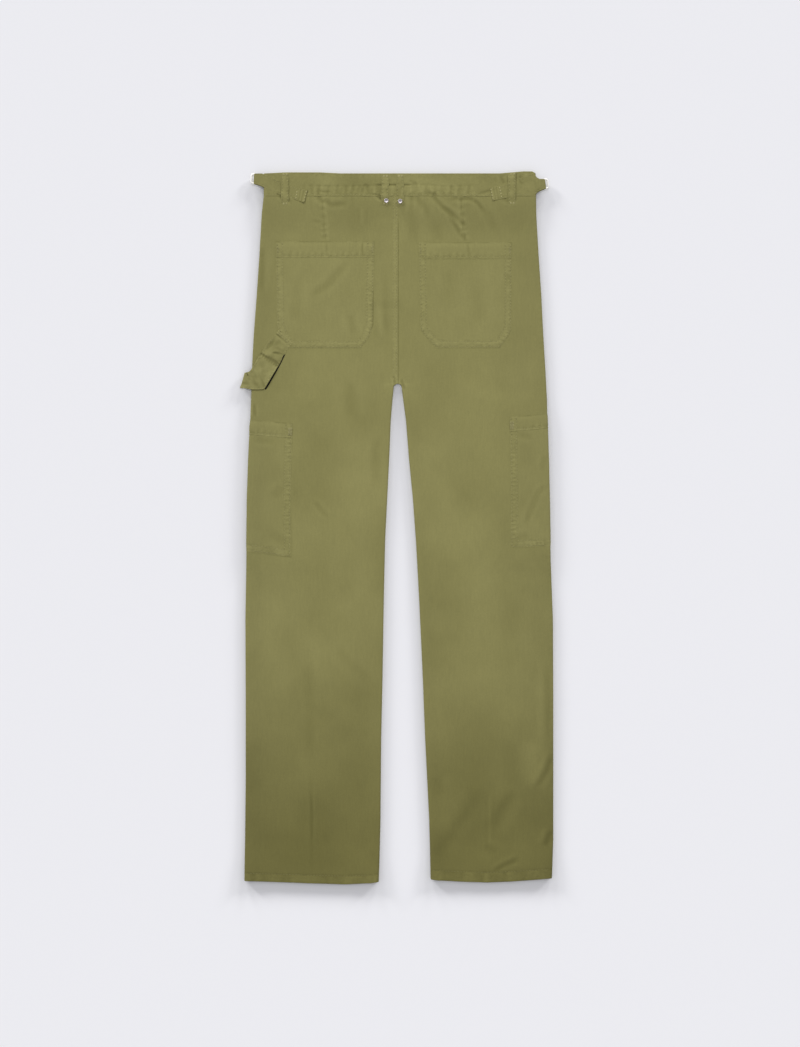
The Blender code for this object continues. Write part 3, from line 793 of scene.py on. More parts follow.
def painted_falloff_shade(tree, place, colour):
    """The colour made darker towards the hems and towards the side edges: painted shade."""
    split = node(tree, "ShaderNodeSeparateXYZ", Vector=place)
    out = node(tree, "ShaderNodeMath", {"operation": "ABSOLUTE"}, i0=split.outputs["X"])
    for value, start, end, tint in (
            (split.outputs["Y"], 0.2, -0.17, (0.94, 0.94, 0.93)),
            (split.outputs["Y"], -0.13, -0.52, (0.65, 0.64, 0.53)),
            (out, 0.12, 0.235, (0.93, 0.93, 0.935))):
        share = node(tree, "ShaderNodeMapRange", {"interpolation_type": "SMOOTHSTEP"},
                     Value=value, From_Min=start, From_Max=end)
        tone = node(tree, "ShaderNodeMix", COLOURS, Factor=share, i6=(1.0, 1.0, 1.0, 1.0),
                    i7=(*tint, 1.0))
        colour = node(tree, "ShaderNodeVectorMath", MULTIPLY, i0=colour, i1=tone.outputs[2])
    return colour


def wear_and_painted_shade(tree, face, deep, worn):
    """Wear: paler where the cloth stands proud. Painted shade: darker in its hollows."""
    relief = node(tree, "ShaderNodeAttribute", {"attribute_name": "relief"}).outputs["Fac"]
    rub_and_shade = node(tree, "ShaderNodeMapRange", Value=relief, From_Min=-0.6, From_Max=0.6)
    rubbed_and_shaded = node(tree, "ShaderNodeMix", COLOURS, Factor=rub_and_shade, i6=linear(deep),
                  i7=linear(worn))
    cloth = node(tree, "ShaderNodeMix", COLOURS, Factor=0.5, i6=linear(face),
                 i7=rubbed_and_shaded.outputs[2])
    # painted shadow: the deepest hollows, such as the slit by the hammer loop, turn near black
    painted_dark = node(tree, "ShaderNodeMapRange", Value=relief, From_Min=-0.85, From_Max=-1.7)
    return node(tree, "ShaderNodeMix", COLOURS, Factor=painted_dark, i6=cloth.outputs[2],
                i7=linear("#0c0a03")).outputs[2]


def sewn_puckers(tree, place):
    """Puckers 6 mm across, from -1 to 1, only where the cloth is sewn."""
    sewn = node(tree, "ShaderNodeAttribute", {"attribute_name": "sewn"})
    pucker = node(tree, "ShaderNodeTexNoise", Vector=place, Scale=150.0, Detail=2.0,
                  Roughness=0.6, Distortion=0.6)
    level = node(tree, "ShaderNodeMapRange", Value=pucker, From_Min=0.3, From_Max=0.7,
                 To_Min=-1.0)
    return node(tree, "ShaderNodeMath", MULTIPLY, i0=level, i1=sewn.outputs["Fac"])


def washed_twill(tree, face, deep, worn):
    """Garment-washed cotton twill: woven, dyed in the piece and then tumbled.

    The eye sees a matt olive with fine diagonal ribs, uneven dye in soft clouds, paler
    ridges where the washing has rubbed the folds and seams, painted shade in the hollows
    and towards the hems and side edges, and a broken pale and dark pucker along every
    sewn line.
    """
    place = node(tree, "ShaderNodeTexCoord").outputs["Object"]
    # uneven dye, about 70 mm across, and the fuzz of the washed face, about 2 mm
    clouds = node(tree, "ShaderNodeTexNoise", Vector=place, Scale=14.0, Detail=4.0,
                  Roughness=0.6)
    grain = node(tree, "ShaderNodeTexNoise", Vector=place, Scale=420.0, Detail=2.0,
                 Roughness=0.7)
    # the real ribs are 0.6 mm apart, too fine to show, so they are drawn 1.9 mm apart
    turned = node(tree, "ShaderNodeMapping", Vector=place,
                  Rotation=(0.0, 0.0, math.radians(38)))
    ribs = node(tree, "ShaderNodeTexWave", {"bands_direction": "X"}, Vector=turned,
                Scale=165.0, Distortion=2.4, Detail=2.0, Detail_Scale=1.6).outputs["Fac"]
    # thick and thin places in the yarn, 2 mm wide and 16 mm long
    slub = node(tree, "ShaderNodeMapping", Vector=place, Scale=(1.0, 0.12, 1.0))
    yarn = node(tree, "ShaderNodeTexNoise", Vector=slub, Scale=520.0, Detail=2.0)
    total = 1.0
    for pattern, low, high in ((clouds, 0.965, 1.035), (grain, 0.95, 1.05),
                               (yarn, 0.965, 1.035), (ribs, 0.975, 1.02)):
        part = node(tree, "ShaderNodeMapRange", Value=pattern, From_Min=0.25,
                    From_Max=0.75, To_Min=low, To_Max=high)
        total = node(tree, "ShaderNodeMath", MULTIPLY, i0=total, i1=part)
    puckers = sewn_puckers(tree, place)
    shade = node(tree, "ShaderNodeMath", {"operation": "MULTIPLY_ADD"}, i0=puckers,
                 i1=0.055, i2=1.0)
    total = node(tree, "ShaderNodeMath", MULTIPLY, i0=total, i1=shade)
    # the cloth's dye with painted shade: darker in its hollows and towards the hems and side edges
    dyed = painted_falloff_shade(tree, place, wear_and_painted_shade(tree, face, deep, worn))
    tinted = node(tree, "ShaderNodeVectorMath", {"operation": "SCALE"}, i0=dyed, Scale=total)
    gather = node(tree, "ShaderNodeBump", Strength=0.38, Distance=0.0005, Height=puckers)
    height = node(tree, "ShaderNodeMath", {"operation": "MULTIPLY_ADD"}, i0=ribs, i1=0.5,
                  i2=yarn)
    bump = node(tree, "ShaderNodeBump", Strength=0.3, Distance=0.0003, Height=height,
                Normal=gather)
    return node(tree, "ShaderNodeBsdfPrincipled", Base_Color=tinted, Normal=bump,
                Roughness=0.92, IOR=1.5, Specular_IOR_Level=0.25, Sheen_Weight=0.08,
                Sheen_Roughness=0.55)


def dyed_thread(tree, colour):
    """Corespun sewing thread, dyed with the cloth: twisted, a little smoother than it."""
    place = node(tree, "ShaderNodeTexCoord").outputs["Object"]
    twist = node(tree, "ShaderNodeTexNoise", Vector=place, Scale=900.0, Detail=1.0)
    shade = node(tree, "ShaderNodeMapRange", Value=twist, To_Min=0.8, To_Max=1.2)
    tinted = node(tree, "ShaderNodeVectorMath", {"operation": "SCALE"},
                  i0=linear(colour)[:3], Scale=shade)
    # painted shade, darker towards the hems and side edges, as on the cloth
    dyed = painted_falloff_shade(tree, place, tinted)
    return node(tree, "ShaderNodeBsdfPrincipled", Base_Color=dyed, Roughness=0.75, IOR=1.5)


def nickel_plate(tree, colour, roughness):
    """Nickel-plated steel, tumbled bright: pale, with faint fine scratches."""
    place = node(tree, "ShaderNodeTexCoord").outputs["Object"]
    wear = node(tree, "ShaderNodeTexNoise", Vector=place, Scale=700.0, Detail=3.0)
    dull = node(tree, "ShaderNodeMapRange", Value=wear, To_Min=roughness * 0.7,
                To_Max=roughness * 1.5)
    bump = node(tree, "ShaderNodeBump", Strength=0.15, Distance=0.00005, Height=wear)
    return node(tree, "ShaderNodeBsdfPrincipled", Base_Color=linear(colour), Metallic=1.0,
                Roughness=dull, Normal=bump)


def cast_polyester(tree):
    """Polyester button, cast and tumbled to look like dark horn: glossy, clouded."""
    place = node(tree, "ShaderNodeTexCoord").outputs["Object"]
    cloud = node(tree, "ShaderNodeTexNoise", Vector=place, Scale=160.0, Detail=3.0,
                 Distortion=1.5)
    mix = node(tree, "ShaderNodeMix", COLOURS, Factor=cloud, i6=linear("#2b2618"),
               i7=linear("#5a5136"))
    return node(tree, "ShaderNodeBsdfPrincipled", Base_Color=mix.outputs[2], Roughness=0.3,
                IOR=1.55)


def twill():
    """The cloth of the legs, the waistband, the loops and the straps."""
    return made_once("olive twill", washed_twill, "#86824f", "#6c683a", "#a09b65")


def pocket_twill():
    """The cloth of the pockets, from a slightly paler part of the roll."""
    return made_once("olive twill, pockets", washed_twill, "#888451", "#6d693b",
                     "#a39e68")


def thread():
    """The thread of the sewn rows."""
    return made_once("olive thread", dyed_thread, "#979260")


def tack_thread():
    """The thread of the bartacks, paler than that of the sewn rows."""
    return made_once("olive bartack thread", dyed_thread, "#aea876")


ARC_STEPS = 6  # faces round half of a folded edge
LEG_WIDTH, SEAM_STRIP = 205.0, 12.0
# Rows that are always there: at the waist, round the crotch and at the hem
FIXED_ROWS = np.array([
    LEG_TOP, 38, 40, 43, 300, 308, 312, 314, 316, 316.5, 317, 317.5, 318, 319, 320, 322, 325,
    329, 1042, 1044, 1045, 1046, 1047, 1048, 1049, 1050, 1051.5, 1053.5, 1056, 1058, 1059.3,
    1060])


def folded_edge(side, edge, inwards, downs, turn, top):
    """Places round a folded edge for every row, from the flat cloth to the edge."""
    near = edge + inwards * EDGE_TURN
    low = front_surface(side * near, downs)
    high = back_surface(side * near, downs)
    surface, up = (back_surface, 1) if top else (front_surface, -1)
    radius = (high - low) / 2 - 0.04
    straight = radius * (math.pi / 2 - turn)
    start = edge + inwards * (straight + radius * np.sin(turn))
    parts = []
    for step in range(ARC_STEPS + 1):
        along = step / ARC_STEPS * radius * math.pi / 2
        angle = np.maximum(0.0, along - straight) / radius
        out = start - inwards * (np.minimum(along, straight) + radius * np.sin(angle))
        x = np.minimum(side * out, SEAM_X - 0.01) if side == LEFT else np.maximum(
            side * out, SEAM_X + 0.01)
        level = surface(x, downs)
        level = level + ((high if top else low) - level) * np.sin(angle)
        z = level - up * radius * (1 - np.cos(angle))
        parts.append((out, z, -inwards * np.sin(angle), up * np.cos(angle)))
    return start, parts


def leg_rows(spacing):
    """Rows of points down a leg, spacing apart between the fixed rows."""
    rows = [down for down in np.arange(43, 1042, spacing)
            if np.abs(FIXED_ROWS - down).min() > 0.45 * spacing]
    return np.array(sorted([*FIXED_ROWS, *rows]))


def leg_panel(side, top, spacing, name):
    """Half of a leg: a thin sheet from the waistband to the hem, folded at both edges.

    Gives the piece and its outer face as a grid.
    """
    downs = leg_rows(spacing)
    side_edge, seam_edge = outseam(side, downs), inseam(side, downs)
    turn = np.radians(np.interp(downs, CROTCH_TURN[:, 0], CROTCH_TURN[:, 1]))
    start_side, at_side = folded_edge(side, side_edge, -1, downs,
                                      np.full(downs.shape, math.pi / 2), top)
    start_seam, at_seam = folded_edge(side, seam_edge, 1, downs, turn, top)
    surface, up = (back_surface, 1) if top else (front_surface, -1)
    # the points stand closer in the strip beside the seam
    shares = np.linspace(0, 1 - SEAM_STRIP / LEG_WIDTH,
                         round((LEG_WIDTH - SEAM_STRIP) / spacing))[1:]
    shares = [*shares, *np.linspace(shares[-1], 1, round(1.6 * SEAM_STRIP / spacing))[1:-1]]
    flat = []
    for share in shares:
        out = start_side + (start_seam - start_side) * share
        flat.append((out, surface(side * out, downs), 0 * out, 0 * out + up))
    section = at_side[::-1] + flat + at_seam
    out, z, n_out, n_z = np.array(section).transpose(1, 2, 0)
    rows = downs[:, None] + 0 * out
    # the hem is rolled a little at its very edge
    roll = 0.3 * fade(LENGTH - rows, 1.2)
    outer = to_world(side * (out - n_out * roll), rows, z - n_z * roll)
    inner = to_world(side * (out - n_out * CLOTH_MM), rows, z - n_z * CLOTH_MM)
    relief, sewn = 0 * out, 0.6 * fade(HEM_LINE[side] - rows, 2.0)
    if top:
        relief = leg_relief(side, side * out, rows)
        sewn = leg_sewn(side, side * out, rows)
    return wall(name, outer, inner, relief, sewn), outer


def leg_sewing(side, top):
    """The stitched lines of one leg's back or front."""
    surface = back_surface if top else front_surface
    hem = HEM_LINE[side]
    ends = sorted((side * (inseam(side, hem) + 3), side * (outseam(side, hem) - 3)))
    lines = [[(end, hem) for end in ends]]
    if side == LEFT:
        for x in SEAM_X - np.array(SEAM_ROWS):
            lines.append([(x, 38.0), (x, 300.0), (x + 1, 314.0)])
    runs = [lie(surface, line, under=not top) for line in lines]
    if not top and side == LEFT:
        for inset in (4.0, 10.0):
            edge = SEAM_X - FLY_WIDTH + inset
            runs.append(lie(fly_surface, [(edge, 40.0), (edge, 150.0), (edge + 9, 172.0),
                                          (SEAM_X - 3.0, 186.0 - inset)], under=True))
    return runs


def fly_surface(x, down):
    """Height of the underside of the fly's cover."""
    return front_surface(x, down) - FLY_CLOTH


class CARGO_PANTS_OT_legs(bpy.types.Operator):
    """Lays the back and front cloth of both legs, with creases, seams and hems"""

    bl_idname = "cargo_pants.legs"
    bl_label = "Legs"

    def execute(self, context):
        look = context.scene.cargo_pants_cloth
        fine, coarse = look.spacing / MM, 1.8 * look.spacing / MM
        for side in (LEFT, RIGHT):
            for top, spacing in ((True, fine), (False, coarse)):
                node_name = ("back_" if top else "front_") + NAMES[side]
                piece, outer = leg_panel(side, top, spacing, node_name + "_cloth")
                put_in_place(piece, twill(), (node_name,))
                sewing = sew(node_name, "olive_twill", leg_sewing(side, top))
        return {"FINISHED"}


# Distances from a pocket's edge at which its points stand close, so that it is rounded
POCKET_RIM = np.array([0, 0.25, 0.6, 1.1, 1.7, 2.2, 2.8])
CARGO_RIM = np.array([0, 0.25, 0.6, 1.1, 1.7, 2.4])
POCKET_WIDTH = 146.0


def pocket_rows(top, band_end, bottom, rim, inset, step):
    """Rows of points down a pocket, close at its ends and where its band ends."""
    near_band = band_end + np.array([-0.9, -0.45, 0, 0.5, 1.0])
    between = [down for down in np.arange(top + inset, bottom - inset, step)
               if np.abs(near_band - down).min() > 0.9]
    return np.array(sorted([*(top + rim), *(bottom - rim), *between, *near_band]))


def thinned(from_edge):
    """The share of a pocket's own height that is left near its folded edge."""
    return 0.22 + 0.78 * smooth(from_edge / 3.0)


def back_pocket(side, name):
    """A back pocket's cloth, and its face as a grid of points."""
    top, band_end = BACK_POCKETS[side][:2, 0]
    bottom = BACK_POCKETS[side][-1, 0]
    downs = pocket_rows(top, band_end, bottom, POCKET_RIM, 4.5, 1.9)
    steps = np.concatenate([POCKET_RIM, np.arange(4.4, POCKET_WIDTH - 3.6, 1.9),
                            POCKET_WIDTH - POCKET_RIM[::-1]])
    near, far = (edge[:, None] for edge in pocket_span(side, downs))
    out = near + (far - near) * (steps / POCKET_WIDTH)
    rows = downs[:, None] + 0 * out
    x = side * out
    relief = pocket_relief(side, x, rows)
    from_edge = np.minimum.reduce([
        (rows - top) / 3, (bottom - rows) / 2.2, out - near, far - out])
    base = base_top(side, out, rows) + POCKET_GAP
    outer = to_world(x, rows, base + relief * thinned(from_edge))
    inner = to_world(x, rows, base)
    # darker along the top fold, and a painted shadow beside the left pocket's edge nearest the
    # centre seam
    painted_dark = 0.38 * fade(rows - top - 1.0, 1.6) * (0.6 + wander(x, rows, 9.0, 53))
    if side == LEFT:
        painted_dark += 0.8 * hump(out - near - 1.0, 1.1) * smooth(
            (rows - 172) / 16) * fade(rows - 226, 12.0)
    band = BAND_FOLD * fade(rows - band_end + 0.4, 1.0)
    return wall(name, outer, inner, relief - PATCH_CLOTH - band - painted_dark,
                pocket_sewn(side, x, rows)), outer


def inset_line(points, distance, middle):
    """A bent line moved towards a point inside it."""
    points = np.array(points, float)
    ways = np.diff(points, axis=0)
    ways /= np.linalg.norm(ways, axis=1, keepdims=True)
    moved = []
    for i, point in enumerate(points):
        near = ways[max(i - 1, 0):i + 1]
        across = np.stack([-near[:, 1], near[:, 0]], axis=1)
        across *= np.where(across @ (middle - point) < 0, -1, 1)[:, None]
        normal = across.sum(axis=0)
        # a corner moves further, so that the lines on both its sides move by distance
        bend = 1.0 if len(near) < 2 else math.sqrt((1 + float(np.dot(*near))) / 2)
        moved.append(point + normal / np.hypot(*normal) * distance / max(bend, 0.5))
    return np.array(moved)


def pocket_sewing(side):
    """A back pocket's stitched lines, and the bartacks at its two top corners."""
    (top, near, far), (band_end, _, band_far) = BACK_POCKETS[side][:2]
    middle = np.array([side * 105.0, 180.0])
    surface = pocket_surface(side)
    lines = []
    for inset in (ROW_NEAR, ROW_FAR):
        line = inset_line(pocket_sewn_edge(side), inset, middle)
        line[0, 1] = line[-1, 1] = top + 0.8
        lines.append(line)
    in_band = band_end - 3.0
    lines.append([(side * (near + 2.5), in_band), (side * (band_far - 2.5), in_band)])
    for out in (near + 3.4, far - 3.4):
        for row in range(4):
            x = side * out + (row - 1.5) * 0.55
            lines.append([(x, top + 7 + 2.2 * (row % 2)), (x, top + 19)])
    return [lie(surface, line) for line in lines]


class CARGO_PANTS_OT_back_pockets(bpy.types.Operator):
    """Sews on the two back patch pockets, with their turned-down bands"""

    bl_idname = "cargo_pants.back_pockets"
    bl_label = "Back pockets"

    def execute(self, context):
        for side in (LEFT, RIGHT):
            node_name = "back_pocket_" + NAMES[side]
            piece, outer = back_pocket(side, node_name + "_cloth")
            put_in_place(piece, pocket_twill(), (node_name,))
            sewing = sew(node_name, "olive_twill_trim", pocket_sewing(side))
        return {"FINISHED"}


def cargo_section(side, downs):
    """Places round the cargo pocket in every row, from its back edge to its front one.

    Gives five grids: how far out, the height, the outward direction's two parts, and the
    distance from the inner edge, which is below 0 on the hidden front.
    """
    edge, reach = outseam(side, downs), cargo_reach(side, downs)
    near = edge - EDGE_TURN
    low, high = floor_lift(side, near, downs), base_top(side, near, downs)
    radius, flat = (high - low) / 2, min(CARGO_REACH[side])
    steps = np.concatenate([CARGO_RIM, np.arange(4.2, flat - 7, 2.1)])

    def laid(step, surface, up):
        from_inner = step * reach / flat
        out = edge - reach + from_inner
        return (out, surface(side, out, downs), 0 * out, up + 0 * out,
                from_inner if up > 0 else -from_inner - 0.001)

    section = [laid(step, base_top, 1) for step in steps]
    for angle in np.linspace(0, math.pi, 15):
        n_out, n_z = math.sin(angle) + 0 * edge, math.cos(angle) + 0 * edge
        section.append((edge - radius + radius * n_out, (low + high) / 2 + radius * n_z,
                        n_out, n_z, flat + 0 * edge))
    section += [laid(step, floor_lift, -1) for step in steps[::-1]]
    return np.array(section).transpose(1, 2, 0)


def cargo_pocket(side, name):
    """A cargo pocket's cloth, and its face as a grid of points."""
    (top, top_in), (bottom, bottom_in) = CARGO_EDGES[side]
    downs = pocket_rows(top, top + CARGO_BAND, bottom, CARGO_RIM, 4, 2.1)
    out, z, n_out, n_z, from_inner = cargo_section(side, downs)
    rows = downs[:, None] + 0 * out
    # the top and the bottom edge slant towards the inner edge
    share = (rows - top) / (bottom - top)
    slant = (1 - share) * (top_in - top) + share * (bottom_in - bottom)
    inward = np.clip((outseam(side, rows) - out) / cargo_reach(side, rows), 0, 1)
    at = rows + slant * inward
    relief = cargo_relief(side, side * out, at)
    # the hidden half is sewn alike, and lies flatter on the surface below
    hidden = from_inner < 0
    flatter = np.minimum(PATCH_CLOTH + 0.25 * (relief - PATCH_CLOTH), 1.4)
    relief = np.where(hidden, flatter, relief)
    from_edge = np.minimum.reduce([
        (rows - top) / 2.5, (bottom - rows) / 3, np.abs(from_inner)])
    face = CARGO_GAP + relief * thinned(from_edge)
    outer = to_world(side * (out + n_out * face), at, z + n_z * face)
    inner = to_world(side * (out + n_out * CARGO_GAP), at, z + n_z * CARGO_GAP)
    # paler along the sewn bottom and darker along the top fold
    uneven = 0.6 + wander(out, 0 * rows, 6.0, 72 + side)
    wear = relief - PATCH_CLOTH
    wear -= BAND_FOLD * fade(at - top - CARGO_BAND + 0.5, 1.0) * ~hidden
    wear += 0.2 * uneven * fade(np.abs(bottom - rows - 5.0) - 3.5, 3.0)
    wear -= 0.3 * uneven * fade(rows - top - 1.0, 1.6)
    return wall(name, outer, inner, wear, cargo_sewn(side, side * out, at)), outer


def cargo_sewing(side):
    """A cargo pocket's stitched lines, and its bartack at the inner end of its band."""
    (top, top_in), (bottom, bottom_in) = CARGO_EDGES[side]
    surface = cargo_surface(side)

    def place(from_inner, away):
        """A place on the pocket, away from its top or, when below 0, from its bottom."""
        edge, edge_in = (top, top_in) if away >= 0 else (bottom, bottom_in)
        reach = cargo_reach(side, edge_in + away)
        out = outseam(side, edge_in + away) - reach + from_inner
        return side * out, edge + (edge_in - edge) * (1 - from_inner / reach) + away

    far, in_band = min(CARGO_REACH[side]) - 4, CARGO_BAND - 3
    runs = []
    for inset in (ROW_NEAR, ROW_FAR):
        runs.append(lie(surface, [place(inset, away) for away in (1.0, 60, 120, -inset)]))
        runs.append(lie(surface, [place(inset, -inset), place(far, -inset)]))
    runs.append(lie(surface, [place(2.5, in_band), place(far, in_band)]))
    tacks = []
    for row in range(7):
        inset = 0.9 + 0.85 * row
        ends = [place(inset, 6.5 + 2.2 * (row % 2)), place(inset, CARGO_BAND - 1.0)]
        tacks.append(lie(lambda x, down: surface(x, down) + 0.3, ends))
    return runs, tacks


class CARGO_PANTS_OT_cargo_pockets(bpy.types.Operator):
    """Wraps a cargo pocket round the side of each leg"""

    bl_idname = "cargo_pants.cargo_pockets"
    bl_label = "Cargo pockets"

    def execute(self, context):
        for side in (LEFT, RIGHT):
            node_name = "cargo_pocket_" + NAMES[side]
            piece, outer = cargo_pocket(side, node_name + "_cloth")
            put_in_place(piece, pocket_twill(), (node_name,))
            sewing = sew(node_name, "olive_twill_trim", *cargo_sewing(side))
        return {"FINISHED"}


def soften(points, rounds=2):
    """Rounds off the corners of a line of points, keeping its two ends."""
    points = np.array(points, float)
    for _ in range(rounds):
        low = 0.75 * points[:-1] + 0.25 * points[1:]
        high = 0.25 * points[:-1] + 0.75 * points[1:]
        middle = np.stack([low, high], axis=1).reshape(-1, points.shape[1])
        points = np.concatenate([points[:1], middle[1:-1], points[-1:]])
    return points


def evenly(points, spacing):
    """The line resampled at even steps along its first three numbers."""
    walked = walk(points[:, :3])
    at = np.linspace(0, walked[-1], max(3, int(walked[-1] / spacing) + 1))
    return along_line(at, walked, points)


def ribbon(name, edges, thick, rows, relief=None, crown=0.0, shade=0.0):
    """A strip of folded cloth between two edge lines, rounded at its edges.

    edges has a row for each place along the strip: a point on its left edge and one on its
    right. The cloth stands up from them by thick, in millimetres. rows are the stitched
    rows' distances from both edges, and shade makes the colour paler, as wear, or below 0
    darker, as painted shadow. Gives the piece and its upper face: a grid of points, the way
    up, and the places across.
    """
    lefts, rights = edges[:, :3], edges[:, 3:]
    width = np.linalg.norm(rights - lefts, axis=1)
    half = width.mean() / 2
    steps = [0, 0.2, 0.5, 1.0, 1.5, 2.1, 2.8]
    across = sorted(set(steps + list(np.arange(3.8, half, 1.3))))
    across = [v for v in across if v < half - 0.2]
    across = np.array(across + [half] + [2 * half - v for v in across[::-1]])
    middles = (lefts + rights) / 2
    ahead = np.gradient(middles, axis=0)
    up = np.cross(rights - lefts, ahead)
    up /= np.linalg.norm(up, axis=1, keepdims=True)
    walked = walk(middles)
    over, along = np.meshgrid(across, walked)
    edge = np.minimum(over, 2 * half - over)
    height = thick * (0.15 + 0.85 * rounded(edge, 1.0))
    height += crown * np.sin(np.pi * over / 2 / half)
    for row in rows:
        height = height + groove(edge - row, 0.16, 0.6)
    height = height + 0.12 * beads(along, over, 6.5, len(name)) * fade(edge - 2.5, 2.0)
    if relief is not None:
        height = height + relief(along, over)
    ends = np.minimum(walked, walked[-1] - walked)[:, None]
    height = np.maximum(height, 0.12) * (0.25 + 0.75 * smooth(ends / 0.8))
    share = (across / 2 / half)[None, :, None]
    line = lefts[:, None, :] * (1 - share) + rights[:, None, :] * share
    top = line + up[:, None, :] * height[:, :, None]
    under = line[:, ::-1]
    loops = np.concatenate([top, under], axis=1) * MM
    stations, count = loops.shape[:2]
    index = np.arange(stations * count).reshape(stations, count)
    after = np.roll(index, -1, axis=1)
    faces = np.stack([index[:-1], after[:-1], after[1:], index[1:]], -1).reshape(-1, 4)
    faces = faces.tolist() + [index[0].tolist(), index[-1][::-1].tolist()]
    proud = np.concatenate([height - thick + shade, 0 * under[:, :, 0]], axis=1)
    sewn = np.concatenate([fade(np.abs(edge - 2) - 1.5, 3.0), 0 * under[:, :, 0]], axis=1)
    piece = mesh_piece(name, loops, faces, proud, sewn, sharp=60)
    return piece, (top * MM, up, across)


def ribbon_run(face, inset, start=1.0, end=1.0):
    """A sewn run along a strip, inset from its left edge, or from its right if negative."""
    top, up, across = face
    at = inset if inset >= 0 else across[-1] + inset
    column = np.stack([along_line(at, across, row) for row in top])
    walked = walk(column)
    keep = (walked >= start * MM) & (walked <= walked[-1] - end * MM)
    return column[keep], up[keep]


def bartack(face, place, rows=5, margin=1.0):
    """Close rows of thread across a strip, place millimetres from its start."""
    top, up, across = face
    walked = walk(top[:, len(across) // 2]) / MM
    keep = (across >= margin) & (across <= across[-1] - margin)
    start = place if place >= 0 else walked[-1] + place
    runs = []
    for row in range(rows):
        at = start + 0.6 * row
        line = along_line(at, walked, top.reshape(len(top), -1)).reshape(-1, 3)
        normal = along_line(at, walked, up)
        runs.append((line[keep], np.repeat(normal[None, :], keep.sum(), axis=0)))
    return runs


BAND_ROWS = (2.6, 33.6)  # down to the upper and the lower sewn row
BAND_ROW_START, BAND_ROW_END = -196.0, 206.0
# Creases of the back of the waistband, as in CREASES
BAND_CREASES = (
    (((-118, 28), (-108, 29.5), (-96, 29)), 1.6, -0.5),
    (((-49, 17), (-42, 23)), 2.6, -0.6),
    (((-38, 32.5), (-26, 34.5), (-20, 38)), 1.8, -0.9),
    (((21.5, 14), (22, 34)), 2.2, 0.45),
    (((33, 14), (37, 34)), 3.0, 0.4),
    (((46, 30), (62, 36)), 2.4, -0.5),
    (((-180, 32), (-170, 36)), 2.0, -0.8),
    (((120, 34), (150, 24)), 2.6, -0.4),
    (((18, 10), (34, 20)), 2.6, -0.4),
    (((155, 3), (158, 10), (162, 18)), 2.2, -0.5),
    (((179, 1), (178, 7), (179, 13)), 1.8, -0.8),
    (((184, 4), (187, 13), (186, 20)), 2.2, -0.6),
    (((192, 3), (196, 9)), 2.4, 0.5),
    (((146, 6), (150, 15)), 2.4, -0.3),
)


def band_relief(x, down, top):
    """The waistband's puckers, sewn rows and creases, above its outer face."""
    upper, lower = BAND_ROWS
    total = groove(down - upper, 0.12, 0.7) + groove(down - lower, 0.08, 0.8)
    if not top:
        return total + 0.1 * beads(x, down, 9.0, 90) * fade(np.abs(down - 18) - 13, 4.0)
    drawn_in = fade(-140 - x, 12.0) * fade(x - 112, 12.0)
    low_half = smooth((down - 16) / 6) * smooth((37.5 - down) / 3)
    shift = 3.5 * wander(x, down * 0.6, 23.0, 12)
    total = total + drawn_in * low_half * (
        0.2 * (0.8 + 0.8 * wander(x, down, 17.0, 96)) * np.sin(
            2 * np.pi * (x + shift) / PUCKER_PITCH)
        + 0.16 * beads(x, down, 7.3, 91) + 0.12 * wander(x, down, 4.5, 97))
    total += drawn_in * groove(down - 19 - 1.5 * wander(x, 0 * x, 40.0, 92), 0.2, 1.5)
    middle = fade(np.abs(x + 3) - 22, 8.0)
    total += middle * groove(down - 18.3, 0.8, 1.3)
    total += 0.1 * beads(x, down, 9.5, 93) * fade(np.abs(down - 3) - 2, 5.0)
    total += 0.3 * wander(x, down * 1.6, 34.0, 94) + 0.12 * wander(x, down, 13.0, 95)
    total *= 0.3 + 0.7 * fade(-130 - x, 14.0) * fade(x - 136, 14.0)
    return total + crease_relief(BAND_CREASES, x, down)


def band_surface(x, down):
    """Height of the waistband's outer face on the back."""
    return BAND_TOP + band_relief(np.asarray(x, float), np.asarray(down, float), True)


def band_underside(x, down):
    """Height of the waistband's outer face on the front, which lies below."""
    return WAIST_LIFT - band_relief(np.asarray(x, float), np.asarray(down, float), False)


